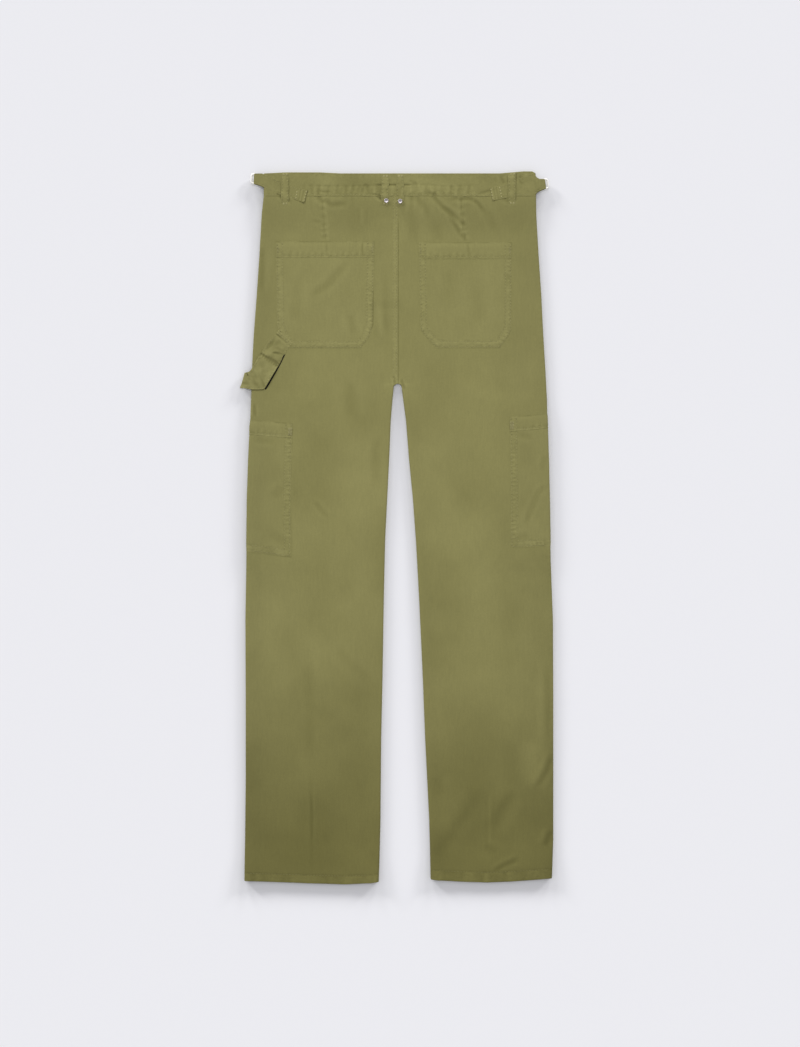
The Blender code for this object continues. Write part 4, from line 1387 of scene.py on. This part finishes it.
def band_piece(name, top, start, end):
    """A stretch of waistband between two ends: a side edge, or the front opening."""
    rim = np.array([0, 0.15, 0.4, 0.8, 1.3])
    downs = np.concatenate([
        rim, np.arange(2.2, BAND_HEIGHT - 1.7, 1.1), BAND_HEIGHT - rim[::-1]])
    radius = (BAND_TOP - WAIST_LIFT) / 2
    thick = BAND_CLOTH - 0.3
    ends = []
    for side in (start, end):
        if side is None:
            ends.append(np.full(downs.shape, SEAM_X + (0.15 if start is None else -0.15)))
        else:
            ends.append(side * (outseam(side, downs) - radius))
    first, last = ends
    shares = np.linspace(0, 1, int(abs(last[0] - first[0]) / 1.5))
    x = first[:, None] * (1 - shares) + last[:, None] * shares
    up = 1 if top else -1
    level = BAND_TOP if top else WAIST_LIFT
    parts = [np.array(np.broadcast_arrays(x, level, 0.0, up))]
    # round each side edge, a quarter of a circle
    angles = np.linspace(0, math.pi / 2, 8)[1:]
    for side in (start, end):
        if side is not None:
            centre = side * (outseam(side, downs) - radius)[:, None]
            part = np.array(np.broadcast_arrays(
                centre + side * radius * np.sin(angles),
                level - up * radius * (1 - np.cos(angles)),
                side * np.sin(angles), up * np.cos(angles)))
            parts = [part[..., ::-1], *parts] if side == start else [*parts, part]
    x, z, n_x, n_z = np.concatenate(parts, axis=-1)
    rows = downs[:, None] + 0 * x
    relief = band_relief(x, rows, top)
    fallen = 1 - rounded(np.minimum(rows, BAND_HEIGHT - rows), 0.95)
    face = relief - np.where(rows > BAND_HEIGHT / 2, 0.12, 0.95) * fallen
    if start is None or end is None:
        from_end = np.abs(x - SEAM_X)
        face -= 0.7 * (1 - np.clip(from_end / 1.0, 0, 1)) ** 2
    outer = to_world(x + n_x * face, rows, z + n_z * face)
    back = -thick + 0.3 * relief * top + 0.9 * fallen
    inner = to_world(x + n_x * back, rows, z + n_z * back)
    sewn = np.maximum(fade(np.abs(rows - 3) - 2.0, 4.0), fade(np.abs(rows - 32) - 3.0, 5.0))
    if top:
        sewn = np.maximum(sewn, 0.55)
    return wall(name, outer, inner, relief, sewn)


class CARGO_PANTS_OT_waistband(bpy.types.Operator):
    """Makes the waistband: the gathered back and the two plain front halves"""

    bl_idname = "cargo_pants.waistband"
    bl_label = "Waistband"

    def execute(self, context):
        for node_name, top, start, end in (
                ("waistband_back", True, LEFT, RIGHT),
                ("waistband_front_left", False, LEFT, None),
                ("waistband_front_right", False, None, RIGHT)):
            piece = band_piece(node_name + "_cloth", top, start, end)
            put_in_place(piece, twill(), (node_name,))
            surface = band_surface if top else band_underside
            low = BAND_ROW_START if start == LEFT else SEAM_X + 2.0
            high = BAND_ROW_END if end == RIGHT else SEAM_X - 2.0
            runs = [lie(surface, [(low, down), (high, down)], under=not top)
                    for down in BAND_ROWS[1 if top else 0:]]
            sewing = sew(node_name, "olive_twill", runs)
        return {"FINISHED"}


LOOP_CLOTH = 0.55
FRONT_LOOP_OUT = 112.0
LOOP_ROW = 1.9  # the stitched rows' distance from the loop's edges


def loop_ribbon(name, x, width, profile, under):
    """A belt loop across the waistband, from (down, height of its inner face) places."""
    line = soften([(0.0, down, z) for down, z in profile])
    line = evenly(line, 0.8)
    half = width / 2
    order = (half, -half) if not under else (-half, half)
    sides = [to_world(x + dx + 0.45 * wander(line[:, 1], 0 * line[:, 1], 8.0, x + dx),
                      line[:, 1], line[:, 2]) / MM for dx in order]

    def rumple(along, over):
        return 0.27 * wander(along, over, 8.0, x) + 0.2 * wander(along, over, 4.0, x + 7)

    return ribbon(name, np.concatenate(sides, axis=1), LOOP_CLOTH, rows=(LOOP_ROW,),
                  relief=rumple, crown=0.15)


class CARGO_PANTS_OT_belt_loops(bpy.types.Operator):
    """Sews on the six belt loops: a pair at the back, two at the sides, two in front"""

    bl_idname = "cargo_pants.belt_loops"
    bl_label = "Belt loops"

    def execute(self, context):
        over = BAND_TOP - 0.05
        strap_top = BAND_TOP + 0.6
        centre = [(1.5, over - 0.3), (6, over - 0.1), (20, over), (35, over - 0.2),
                  (41, over - 0.6), (46, over - 1.2), (50, over - 1.9)]
        # name, x, width, places as (down, height), and whether it lies under the garment
        loops = [
            ("centre_left", -17.0, 12.0, centre, False),
            ("centre_right", 5.5, 12.0, centre, False),
            ("side_left", -167.0, 11.5,
             [(0.5, over - 0.3), (6, over), (12, strap_top), (37, strap_top),
              (42, over - 0.5), (50, over - 1.8)], False),
            ("side_right", 173.0, 11.5,
             [(0.5, over - 0.3), (5, over), (9, strap_top), (36, strap_top),
              (41, over - 0.5), (49, over - 1.8)], False),
        ]
        for side in (LEFT, RIGHT):
            profile = [(down, floor_lift(side, FRONT_LOOP_OUT, down) - 0.3)
                       for down in (1.5, 12, 24, 36, 46)]
            loops.append(("front_" + NAMES[side], side * FRONT_LOOP_OUT, 12.0, profile, True))
        for name, x, width, profile, under in loops:
            node_name = "belt_loop_" + name
            piece, face = loop_ribbon(node_name + "_cloth", x, width, profile, under)
            put_in_place(piece, twill(), (node_name,))
            runs = [ribbon_run(face, LOOP_ROW), ribbon_run(face, -LOOP_ROW)]
            tacks = bartack(face, 1.8, 4) + bartack(face, -4.4, 4)
            sewing = sew(node_name, "olive_twill_trim", runs, tacks)
        return {"FINISHED"}


# The strap's upper and lower edges from its free tail to its fold: x, down, x, down
STRAPS = {
    LEFT: np.array([(-132.6, 27.0, -137.8, 46.0), (-146, 23.5, -149, 42.5),
                    (-170, 14.5, -176.5, 33.5), (-191, 5.0, -193, 26.0),
                    (-201, 0.2, -203.5, 19.5), (-212.5, 0.3, -213.5, 16.6)]),
    RIGHT: np.array([(139.5, 23.0, 143.5, 43.0), (160, 18.5, 164, 39.0),
                     (185, 9.5, 190, 34.5), (206, 1.0, 207.5, 34.6),
                     (209.5, 5.4, 210.6, 29.8), (214, 8.4, 215.2, 27.0),
                     (221.5, 8.3, 223.7, 23.8)]),
}
STRAP_CLOTH = 0.9
STRAP_ROW = 2.2
FOLD_RADIUS = 1.5
RING_BAR, RING_FLATNESS, RING_LENGTH, RING_WIDTH = 3.2, 0.6, 6.5, 13.6
RING_CORNER = 2.6
STRAP_OVER = BAND_TOP - 0.6
STRAP_UNDER = WAIST_LIFT - 0.3


def adjuster_strap(side):
    """A strap over the waistband and round its ring, then back under the waistband."""
    edges = STRAPS[side]
    middle = (STRAP_OVER + STRAP_UNDER) / 2
    shares = np.linspace(0, 1, 24)
    rows = along_line(shares, np.linspace(0, 1, len(edges)), edges)
    tail_lift = 1.1 if side == LEFT else 0.4
    rise = np.interp(shares, [0, 0.12, 0.3, 0.85, 1],
                     [tail_lift, 0.5 * tail_lift, 0.0, 0.0, -0.5])
    # the lower edge is pressed into the band more than the upper one
    sunk = np.interp(shares, [0, 0.1, 0.8, 1], [0.3, 0.5, 0.5, 0.0])
    tip = rows[-1] - rows[-2]
    tip /= abs(tip[0])
    line = [(*row, STRAP_OVER + up, STRAP_OVER + up - low)
            for row, up, low in zip(rows[:-1], rise, sunk)]
    line += [(*(rows[-1] + tip * (FOLD_RADIUS * math.sin(angle) - FOLD_RADIUS)),
              *[middle + (middle - STRAP_UNDER) * math.cos(angle) * 0.8] * 2)
             for angle in np.linspace(0.4, math.pi - 0.4, 9)]
    line += [(*row, STRAP_UNDER, STRAP_UNDER) for row in rows[-4:6:-1]]
    line = np.array(line)
    upper = to_world(line[:, 0], line[:, 1], line[:, 4]) / MM
    lower = to_world(line[:, 2], line[:, 3], line[:, 5]) / MM
    pair = (lower, upper) if side == LEFT else (upper, lower)
    both = evenly(np.concatenate(pair, axis=1), 0.9)
    turn = 84.0  # how far along the strap it goes round the ring

    def rumple(at, over):
        worn = 0.22 * wander(at, over, 13.0, 110 + side) + 0.1 * wander(at, over, 6.0, 112)
        worn += groove(at - turn + 42 - 0.8 * over, 0.4, 1.8)
        worn += 0.25 * (at < 12) * np.cos(2 * np.pi * (at - 3) / 4.5)
        return np.where(at > turn - 8, 0.0, worn)

    return ribbon("adjuster_strap_" + NAMES[side] + "_cloth", both, STRAP_CLOTH,
                  rows=(STRAP_ROW,), relief=rumple)


def wire_ring(side):
    """A bent wire ring: a rounded outline given a round section and then flattened."""
    upper, lower = STRAPS[side][-1, :2], STRAPS[side][-1, 2:]
    x, down = (upper + lower) / 2
    turn = math.atan2(lower[0] - upper[0], lower[1] - upper[1])
    level = (STRAP_OVER + STRAP_UNDER) / 2 + 0.4
    centre = to_world(x + side * (RING_LENGTH / 2 - 2.2), down, level)
    deselect()
    bpy.ops.mesh.primitive_plane_add(size=1.0)
    ring = bpy.context.object
    ring.name = "adjuster_ring_" + NAMES[side] + "_wire"
    ring.scale = (RING_LENGTH * MM, RING_WIDTH * MM, 1.0)
    bpy.ops.object.transform_apply(scale=True)
    bpy.ops.object.mode_set(mode="EDIT")
    bpy.ops.mesh.select_all(action="SELECT")
    bpy.ops.mesh.bevel(offset=RING_CORNER * MM, segments=7, affect="VERTICES")
    bpy.ops.mesh.select_all(action="SELECT")
    bpy.ops.mesh.delete(type="ONLY_FACE")
    bpy.ops.object.mode_set(mode="OBJECT")
    bpy.ops.object.convert(target="CURVE")
    ring = bpy.context.object
    ring.data.bevel_depth = RING_BAR / 2 * MM
    ring.data.bevel_resolution = 4
    bpy.ops.object.convert(target="MESH")
    ring = bpy.context.object
    ring.location = Vector(centre)
    ring.rotation_euler = (0, 0, turn)
    ring.scale = (1, 1, RING_FLATNESS)
    bpy.ops.object.transform_apply(location=True, rotation=True, scale=True)
    bpy.ops.object.shade_smooth()
    return ring


class CARGO_PANTS_OT_adjusters(bpy.types.Operator):
    """Adds the waist adjusters: a strap folded round a wire ring on each side"""

    bl_idname = "cargo_pants.adjusters"
    bl_label = "Waist adjusters"

    def execute(self, context):
        steel = made_once("nickel-plated wire", nickel_plate, "#f6f4f0", 0.5)
        for side in (LEFT, RIGHT):
            node_name = "adjuster_strap_" + NAMES[side]
            piece, face = adjuster_strap(side)
            put_in_place(piece, twill(), (node_name,))
            runs = [ribbon_run(face, STRAP_ROW), ribbon_run(face, -STRAP_ROW)]
            tacks = bartack(face, 1.4, 2) + bartack(face, 15.0, 2)
            sewing = sew(node_name, "olive_twill_trim", runs, tacks)
            put_in_place(wire_ring(side), steel,
                         ("adjuster_ring_" + NAMES[side],))
        return {"FINISHED"}


# The strip's outer edge as x, down and height above the cloth, and then its inner edge
HAMMER_LOOP = (
    (-176.5, 235.5, -0.4, -155.0, 254.5, -0.6),
    (-181.0, 241.0, -0.4, -159.0, 260.5, -0.8),
    (-194.0, 254.5, -0.2, -166.5, 272.0, -0.75),
    (-203.5, 270.5, 0.5, -175.5, 287.3, 0.4),
    (-211.5, 284.0, 0.9, -184.5, 302.0, 0.9),
    (-217.0, 294.0, 0.8, -195.5, 320.5, 0.7),
    (-219.5, 297.5, 0.4, -197.6, 324.2, 0.3),
)
# Past the side edge, the same with the heights above the floor
HAMMER_ROUND = (
    (-221.5, 298.6, 6.8, -200.8, 325.2, 3.7),
    (-224.5, 299.4, 6.7, -215.0, 325.6, 5.2),
    (-226.0, 299.6, 5.8, -227.0, 323.6, 5.0),
    (-226.4, 299.8, 4.2, -234.6, 323.0, 4.0),
    (-225.0, 299.8, 2.6, -231.0, 322.6, 2.6),
    (-220.5, 299.0, 2.2, -221.0, 323.5, 2.2),
)
# How wide the painted shadow in the slit beside the strip's inner edge is, down that edge
SLIT = (0.1, 1.5, 2.3, 2.5, 2.1)
HAMMER_ROW = 2.4


def hammer_folds(along, over):
    """Depth of the pressed tack and of the cross folds, over counted from the inseam."""
    tack = groove(along - 7.2, 1.0, 0.9) + 0.7 * hump(along - 4.9, 0.9)
    tack += 0.6 * hump(along - 2.0, 0.8)
    bent = along + 1.1 * wander(over, along * 0.4, 7.0, 133)
    fold = groove(bent - 41.6 - 1.6 * over / 33, 1.7, 1.9)
    fold += groove(bent - 45.0 - 1.6 * over / 33, 0.5, 2.2)
    short = groove(bent - 27.4 - 0.3 * over + 1.6 * np.sin(over * 0.2), 1.5, 1.4) * fade(
        over - 13, 4.0)
    side = groove(over - 25 + 1.5 * wander(along, over, 8.0, 134), 0.5, 1.8) * smooth(
        (along - 13) / 5) * fade(along - 30, 6.0)
    notch = groove(along - 90, 1.3, 1.8) * smooth((over - 22) / 3)
    bent = bent + 1.6 * wander(over, along * 0.2, 11.0, 135)
    low = groove(bent - 77 + 0.25 * over, 0.35, 2.2) * fade(over - 16, 6.0)
    low += groove(bent - 86 + 0.2 * over, 0.3, 2.6) * fade(over - 20, 6.0)
    hatch = 0.45 * np.sin(over * 1.7) * fade(np.abs(bent - 44.5) - 2.5, 3.0)
    # painted highlight: the raised lip by the slit also makes the colour paler there
    lip = 0.45 * hump(over - 0.9, 0.8) * smooth((along - 44) / 6)
    # painted shade: the sag above the fold also makes the colour darker there
    sag = -0.35 * smooth((along - 9) / 8) * fade(along - 37, 5.0)
    return (tack + fold + short + side + notch + low + hatch + lip + sag
            + 0.3 * wander(along, over, 11.0, 130) + 0.32 * wander(along, over, 4.5, 131))


def hammer_edges():
    """The strip's inner and outer edge at even steps along it, in millimetres."""
    line = []
    for row in HAMMER_LOOP:
        for x, down, rise in (row[3:], row[:3]):
            level = base_top(LEFT, min(-x, outseam(LEFT, down) - 3), down)
            line.append(to_world(x, down, level + rise))
    for row in HAMMER_ROUND:
        line += [to_world(*row[3:]), to_world(*row[:3])]
    return evenly(soften(np.reshape(line, (-1, 6)) / MM), 0.9)


def painted_slit_shadow_edges():
    """The edges of the painted shadow in the slit, from beside the strip to a little under it."""
    line = []
    for (*_, x, down, _), wide in zip(HAMMER_LOOP[2:], SLIT):
        for away in (wide, -1.5):
            at_x, at_down = x + 0.86 * away, down + 0.5 * away
            line.append(to_world(at_x, at_down, back_surface(at_x, at_down) + 0.05))
    return evenly(soften(np.reshape(line, (-1, 6)) / MM, 1), 1.0)


class CARGO_PANTS_OT_hammer_loop(bpy.types.Operator):
    """Makes the hammer loop: a wide strip tacked by the left pocket, off the leg"""

    bl_idname = "cargo_pants.hammer_loop"
    bl_label = "Hammer loop"

    def execute(self, context):
        piece, face = ribbon("hammer_loop_cloth", hammer_edges(), 1.3, rows=(HAMMER_ROW,),
                             relief=hammer_folds, shade=0.2)
        put_in_place(piece, pocket_twill(), ("hammer_loop",))
        # a thin near-black sheet on the leg in the slit beside the strip: a painted shadow
        painted_slit_shadow, _ = ribbon("hammer_loop_under_layer", painted_slit_shadow_edges(), 0.3, rows=(),
                                shade=-2.5)
        put_in_place(painted_slit_shadow, twill(), ())
        runs = [ribbon_run(face, HAMMER_ROW, 9, 8), ribbon_run(face, -HAMMER_ROW, 9, 8)]
        for place in (1.6, 3.4, 5.2):
            runs += bartack(face, place, 1)
        sewing = sew("hammer_loop", "olive_twill_trim", runs)
        return {"FINISHED"}


class CARGO_PANTS_OT_fly(bpy.types.Operator):
    """Adds the fly's cover, on the hidden front"""

    bl_idname = "cargo_pants.fly"
    bl_label = "Fly"

    def execute(self, context):
        downs = np.concatenate([[LEG_TOP, 36.5, 37.2], np.arange(39, FLY_END - 2, 2.0),
                                [FLY_END - 1.0, FLY_END - 0.4, FLY_END]])
        shares = np.concatenate([[0, 0.01, 0.03], np.linspace(0.08, 0.92, 14),
                                 [0.97, 0.99, 1]])
        # the cover's far edge curves in towards its end
        curved = 12 * np.clip(1 - (FLY_END - downs) / 34.0, 0, 1) ** 1.5
        near, far = -SEAM_X + 0.3, FLY_WIDTH - SEAM_X - 1 - curved
        out = near + (far - near)[:, None] * shares[None, :]
        rows = downs[:, None] + 0 * out
        level = floor_lift(LEFT, out, rows) - 0.25
        from_edge = np.minimum.reduce([rows - LEG_TOP, FLY_END - rows, out - near,
                                       near + (far - near)[:, None] - out])
        thick = 0.25 + 0.7 * rounded(from_edge, 0.9)
        sewn = groove(out - (FLY_WIDTH - SEAM_X - 4), 0.2, 0.8) * (rows < FLY_END - 34)
        outer = to_world(-out, rows, np.maximum(level - thick - sewn, 0.04))
        inner = to_world(-out, rows, level + 0 * out)
        piece = wall("fly_cloth", outer, inner, -sewn, 0.5 * sewn)
        put_in_place(piece, twill(), ("fly",))
        return {"FINISHED"}


def edit_faces(piece, up):
    """Opens a piece for editing with the faces selected that look up, or down for -1."""
    bpy.ops.object.mode_set(mode="EDIT")
    bpy.ops.mesh.select_all(action="DESELECT")
    work = bmesh.from_edit_mesh(piece.data)
    for face in work.faces:
        face.select = face.normal.z * up > 0.9
    bmesh.update_edit_mesh(piece.data)


class CARGO_PANTS_OT_waist_button(bpy.types.Operator):
    """Turns the waist button, with its rim, its dish and its four thread holes"""

    bl_idname = "cargo_pants.waist_button"
    bl_label = "Waist button"

    def execute(self, context):
        low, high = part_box("waist_button")
        centre, radius = (low + high) / 2, (high.x - low.x) / 2
        deselect()
        bpy.ops.mesh.primitive_cylinder_add(vertices=48, radius=radius,
                                            depth=high.z - low.z, location=centre)
        button = context.object
        button.name = "waist_button_disc"
        edit_faces(button, -1)
        bpy.ops.mesh.inset(thickness=1.3 * MM, depth=0.0)
        bpy.ops.mesh.inset(thickness=0.7 * MM, depth=-0.6 * MM)
        bpy.ops.object.mode_set(mode="OBJECT")
        rim = button.modifiers.new("rounded rim", "BEVEL")
        rim.width, rim.segments = 0.35 * MM, 3
        bpy.ops.object.modifier_apply(modifier=rim.name)
        for turn in range(4):
            angle = math.radians(45 + 90 * turn)
            place = centre + Vector((math.cos(angle), math.sin(angle), 0)) * 1.9 * MM
            deselect()
            bpy.ops.mesh.primitive_cylinder_add(vertices=16, radius=0.85 * MM,
                                                depth=6 * MM, location=place)
            drill = context.object
            hole = button.modifiers.new("thread hole", "BOOLEAN")
            hole.object, hole.solver = drill, "EXACT"
            context.view_layer.objects.active = button
            bpy.ops.object.modifier_apply(modifier=hole.name)
            bpy.data.objects.remove(drill)
        deselect()
        button.select_set(True)
        bpy.ops.object.transform_apply(location=True, rotation=True, scale=True)
        bpy.ops.object.shade_smooth_by_angle(angle=math.radians(35))
        horn = made_once("horn-look polyester", cast_polyester)
        put_in_place(button, horn, ("waist_button",))
        return {"FINISHED"}


class CARGO_PANTS_OT_rivets(bpy.types.Operator):
    """Presses a domed rivet through the end of each belt loop at the back"""

    bl_idname = "cargo_pants.rivets"
    bl_label = "Rivets"

    def execute(self, context):
        nickel = made_once("tumbled nickel rivet", nickel_plate, "#b9b2b6", 0.3)
        for name, settled in (("rivet_left", 1.4), ("rivet_right", 2.3)):
            low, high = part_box(name)
            radius = 0.88 * (high.x - low.x) / 2
            deselect()
            bpy.ops.mesh.primitive_cylinder_add(
                vertices=40, radius=radius, depth=0.9 * MM,
                location=((low.x + high.x) / 2, (low.y + high.y) / 2 - settled * MM,
                          low.z + 0.3 * MM))
            rivet = context.object
            rivet.name = name + "_head"
            edit_faces(rivet, 1)
            # a rounded shoulder round a wide shallow dish
            for thickness, depth in ((0.07, 0.22), (0.1, 0.14), (0.1, -0.04), (0.16, -0.3),
                                     (0.18, -0.22), (0.16, -0.1)):
                bpy.ops.mesh.inset(thickness=thickness * radius, depth=depth * MM)
            bpy.ops.object.mode_set(mode="OBJECT")
            soft = rivet.modifiers.new("soft edges", "SUBSURF")
            soft.levels = soft.render_levels = 1
            bpy.ops.object.modifier_apply(modifier=soft.name)
            bpy.ops.object.transform_apply(location=True, rotation=True, scale=True)
            bpy.ops.object.shade_smooth()
            put_in_place(rivet, nickel, (name,))
        return {"FINISHED"}


def uncoated_paper(tree, colour):
    """Uncoated paper: matt, even and pale, so that only soft shadows show on it."""
    return node(tree, "ShaderNodeBsdfPrincipled", Base_Color=(*colour, 1.0), Roughness=0.95,
                Specular_IOR_Level=0.0)


def light_bank(bank, strength, width, parts, lit):
    """One wide soft bank of light beyond the waist, as suns that light what is given.

    Each part has its turn towards the left in degrees, its height and its share.
    """
    for turn, height, share in parts:
        bpy.ops.object.light_add(type="SUN", location=(0, 2.0, 2.0))
        sun = bpy.context.object
        sun.name = f"{bank} bank, {turn} degrees"
        sun.data.energy = strength * share
        sun.data.angle = math.radians(width)
        sun.light_linking.receiver_collection = lit
        turn = math.radians(90 + turn)
        toward = Vector((math.cos(turn), math.sin(turn), math.tan(height)))
        sun.rotation_euler = toward.to_track_quat("Z", "Y").to_euler()


CAMERA_X, CAMERA_Y = 0.00525, 0.00725
VIEW_LENGTH = 1.5705  # how much of the floor the long side of the view takes in
SENSOR_MM = 36


class CARGO_PANTS_OT_stage(bpy.types.Operator):
    """Sets the pale floor, the soft light from the waist side and the camera above"""

    bl_idname = "cargo_pants.stage"
    bl_label = "Stage"

    def execute(self, context):
        look = context.scene.cargo_pants_stage
        deselect()
        bpy.ops.mesh.primitive_plane_add(size=14.0, location=(0, 0, -0.0002))
        floor = context.object
        floor.name = "floor"
        floor.data.materials.append(made_once("matt pale paper", uncoated_paper, look.floor))

        world = context.scene.world or bpy.data.worlds.new("studio")
        context.scene.world = world
        world.use_nodes = True
        sky = world.node_tree.nodes["Background"]
        sky.inputs["Color"].default_value = (0.985, 0.985, 1.0, 1.0)
        sky.inputs["Strength"].default_value = look.fill

        # a high bank on the garment, a little stronger at the left, and a low one that
        # draws the long shadow on the floor
        only_floor = bpy.data.collections.new("lit by the low bank")
        only_floor.objects.link(floor)
        all_but_floor = bpy.data.collections.new("not lit by the high bank")
        all_but_floor.objects.link(floor)
        all_but_floor.collection_objects[0].light_linking.link_state = "EXCLUDE"
        high, low, above = look.height, look.low_height, math.radians(74)
        light_bank("high", look.key, look.softness,
                   ((50, high, 0.40), (5, high, 0.34), (-45, high, 0.26)), all_but_floor)
        light_bank("low", look.low_key, look.low_softness,
                   ((45, low, 0.3), (18, low, 0.19), (-18, low, 0.19), (-45, low, 0.3),
                    (0, above, 0.053)), only_floor)

        bpy.ops.object.camera_add(
            location=(CAMERA_X, CAMERA_Y, look.lens * VIEW_LENGTH / SENSOR_MM))
        camera = context.object
        camera.data.lens = look.lens
        camera.data.clip_end = 50.0
        camera.rotation_euler = (0, 0, 0)
        context.scene.camera = camera
        context.scene.view_settings.view_transform = "Standard"
        return {"FINISHED"}


class CargoPantsCloth(bpy.types.PropertyGroup):
    spacing: bpy.props.FloatProperty(
        name="Mesh spacing", description="Distance between the points of the back cloth",
        default=0.0025, min=0.0015, max=0.01, unit="LENGTH", precision=4)
    stitch: bpy.props.FloatProperty(
        name="Stitch", description="Length of one stitch on the cloth",
        default=0.0034, min=0.001, max=0.006, unit="LENGTH", precision=4)
    stitch_gap: bpy.props.FloatProperty(
        name="Stitch gap", description="Distance from one stitch to the next",
        default=0.0011, min=0.0003, max=0.003, unit="LENGTH", precision=4)
    thread: bpy.props.FloatProperty(
        name="Thread", description="Diameter of the sewing thread",
        default=0.0008, min=0.0002, max=0.002, unit="LENGTH", precision=4)


class CargoPantsStage(bpy.types.PropertyGroup):
    floor: bpy.props.FloatVectorProperty(
        name="Floor", description="Colour of the floor", subtype="COLOR",
        default=linear("#eeeef2")[:3], min=0.0, max=1.0)
    fill: bpy.props.FloatProperty(
        name="Fill light", description="Strength of the even light from all round",
        default=0.5, min=0.0, max=3.0)
    key: bpy.props.FloatProperty(
        name="Key light", description="Strength of the light on the garment",
        default=2.83, min=0.0, max=20.0)
    low_key: bpy.props.FloatProperty(
        name="Floor light", description="Strength of the low light on the floor",
        default=6.4, min=0.0, max=20.0)
    height: bpy.props.FloatProperty(
        name="Key height", description="Angle of the key light above the floor",
        default=math.radians(32), min=0.05, max=1.57, subtype="ANGLE", unit="ROTATION")
    low_height: bpy.props.FloatProperty(
        name="Low height", description="Angle of the floor light above the floor",
        default=math.radians(11.0), min=0.05, max=1.57, subtype="ANGLE", unit="ROTATION")
    softness: bpy.props.FloatProperty(
        name="Key softness", description="How wide the key light looks, in degrees",
        default=25.0, min=0.0, max=90.0)
    low_softness: bpy.props.FloatProperty(
        name="Low softness", description="How wide the floor light looks, in degrees",
        default=10.0, min=0.0, max=90.0)
    lens: bpy.props.FloatProperty(
        name="Lens", description="Focal length of the camera, in millimetres",
        default=85.0, min=20.0, max=300.0)


ORDER = (
    "stage", "legs", "back_pockets", "cargo_pockets", "waistband", "belt_loops",
    "adjusters", "hammer_loop", "fly", "waist_button", "rivets",
)


class CARGO_PANTS_PT_panel(bpy.types.Panel):
    """Lists the garment's sizes and the steps that build it"""

    bl_idname = "CARGO_PANTS_PT_panel"
    bl_label = "Cargo pants"
    bl_space_type = "VIEW_3D"
    bl_region_type = "UI"
    bl_category = "Cargo pants"

    def draw(self, context):
        for group in (context.scene.cargo_pants_cloth, context.scene.cargo_pants_stage):
            box = self.layout.box()
            for name in group.bl_rna.properties.keys():
                if name not in ("rna_type", "name"):
                    box.prop(group, name)
        for name in ORDER:
            self.layout.operator("cargo_pants." + name)


CLASSES = (
    CargoPantsCloth, CargoPantsStage, CARGO_PANTS_OT_stage, CARGO_PANTS_OT_legs,
    CARGO_PANTS_OT_back_pockets, CARGO_PANTS_OT_cargo_pockets, CARGO_PANTS_OT_waistband,
    CARGO_PANTS_OT_belt_loops, CARGO_PANTS_OT_adjusters, CARGO_PANTS_OT_hammer_loop,
    CARGO_PANTS_OT_fly, CARGO_PANTS_OT_waist_button, CARGO_PANTS_OT_rivets,
    CARGO_PANTS_PT_panel,
)


def register():
    for one in CLASSES:
        bpy.utils.register_class(one)
    bpy.types.Scene.cargo_pants_cloth = bpy.props.PointerProperty(type=CargoPantsCloth)
    bpy.types.Scene.cargo_pants_stage = bpy.props.PointerProperty(type=CargoPantsStage)


def unregister():
    del bpy.types.Scene.cargo_pants_stage
    del bpy.types.Scene.cargo_pants_cloth
    for one in reversed(CLASSES):
        bpy.utils.unregister_class(one)


def main():
    """Builds the garment step by step."""
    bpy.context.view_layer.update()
    register()
    deselect()
    for name in ORDER:
        getattr(bpy.ops.cargo_pants, name)()


if __name__ == "__main__":
    main()
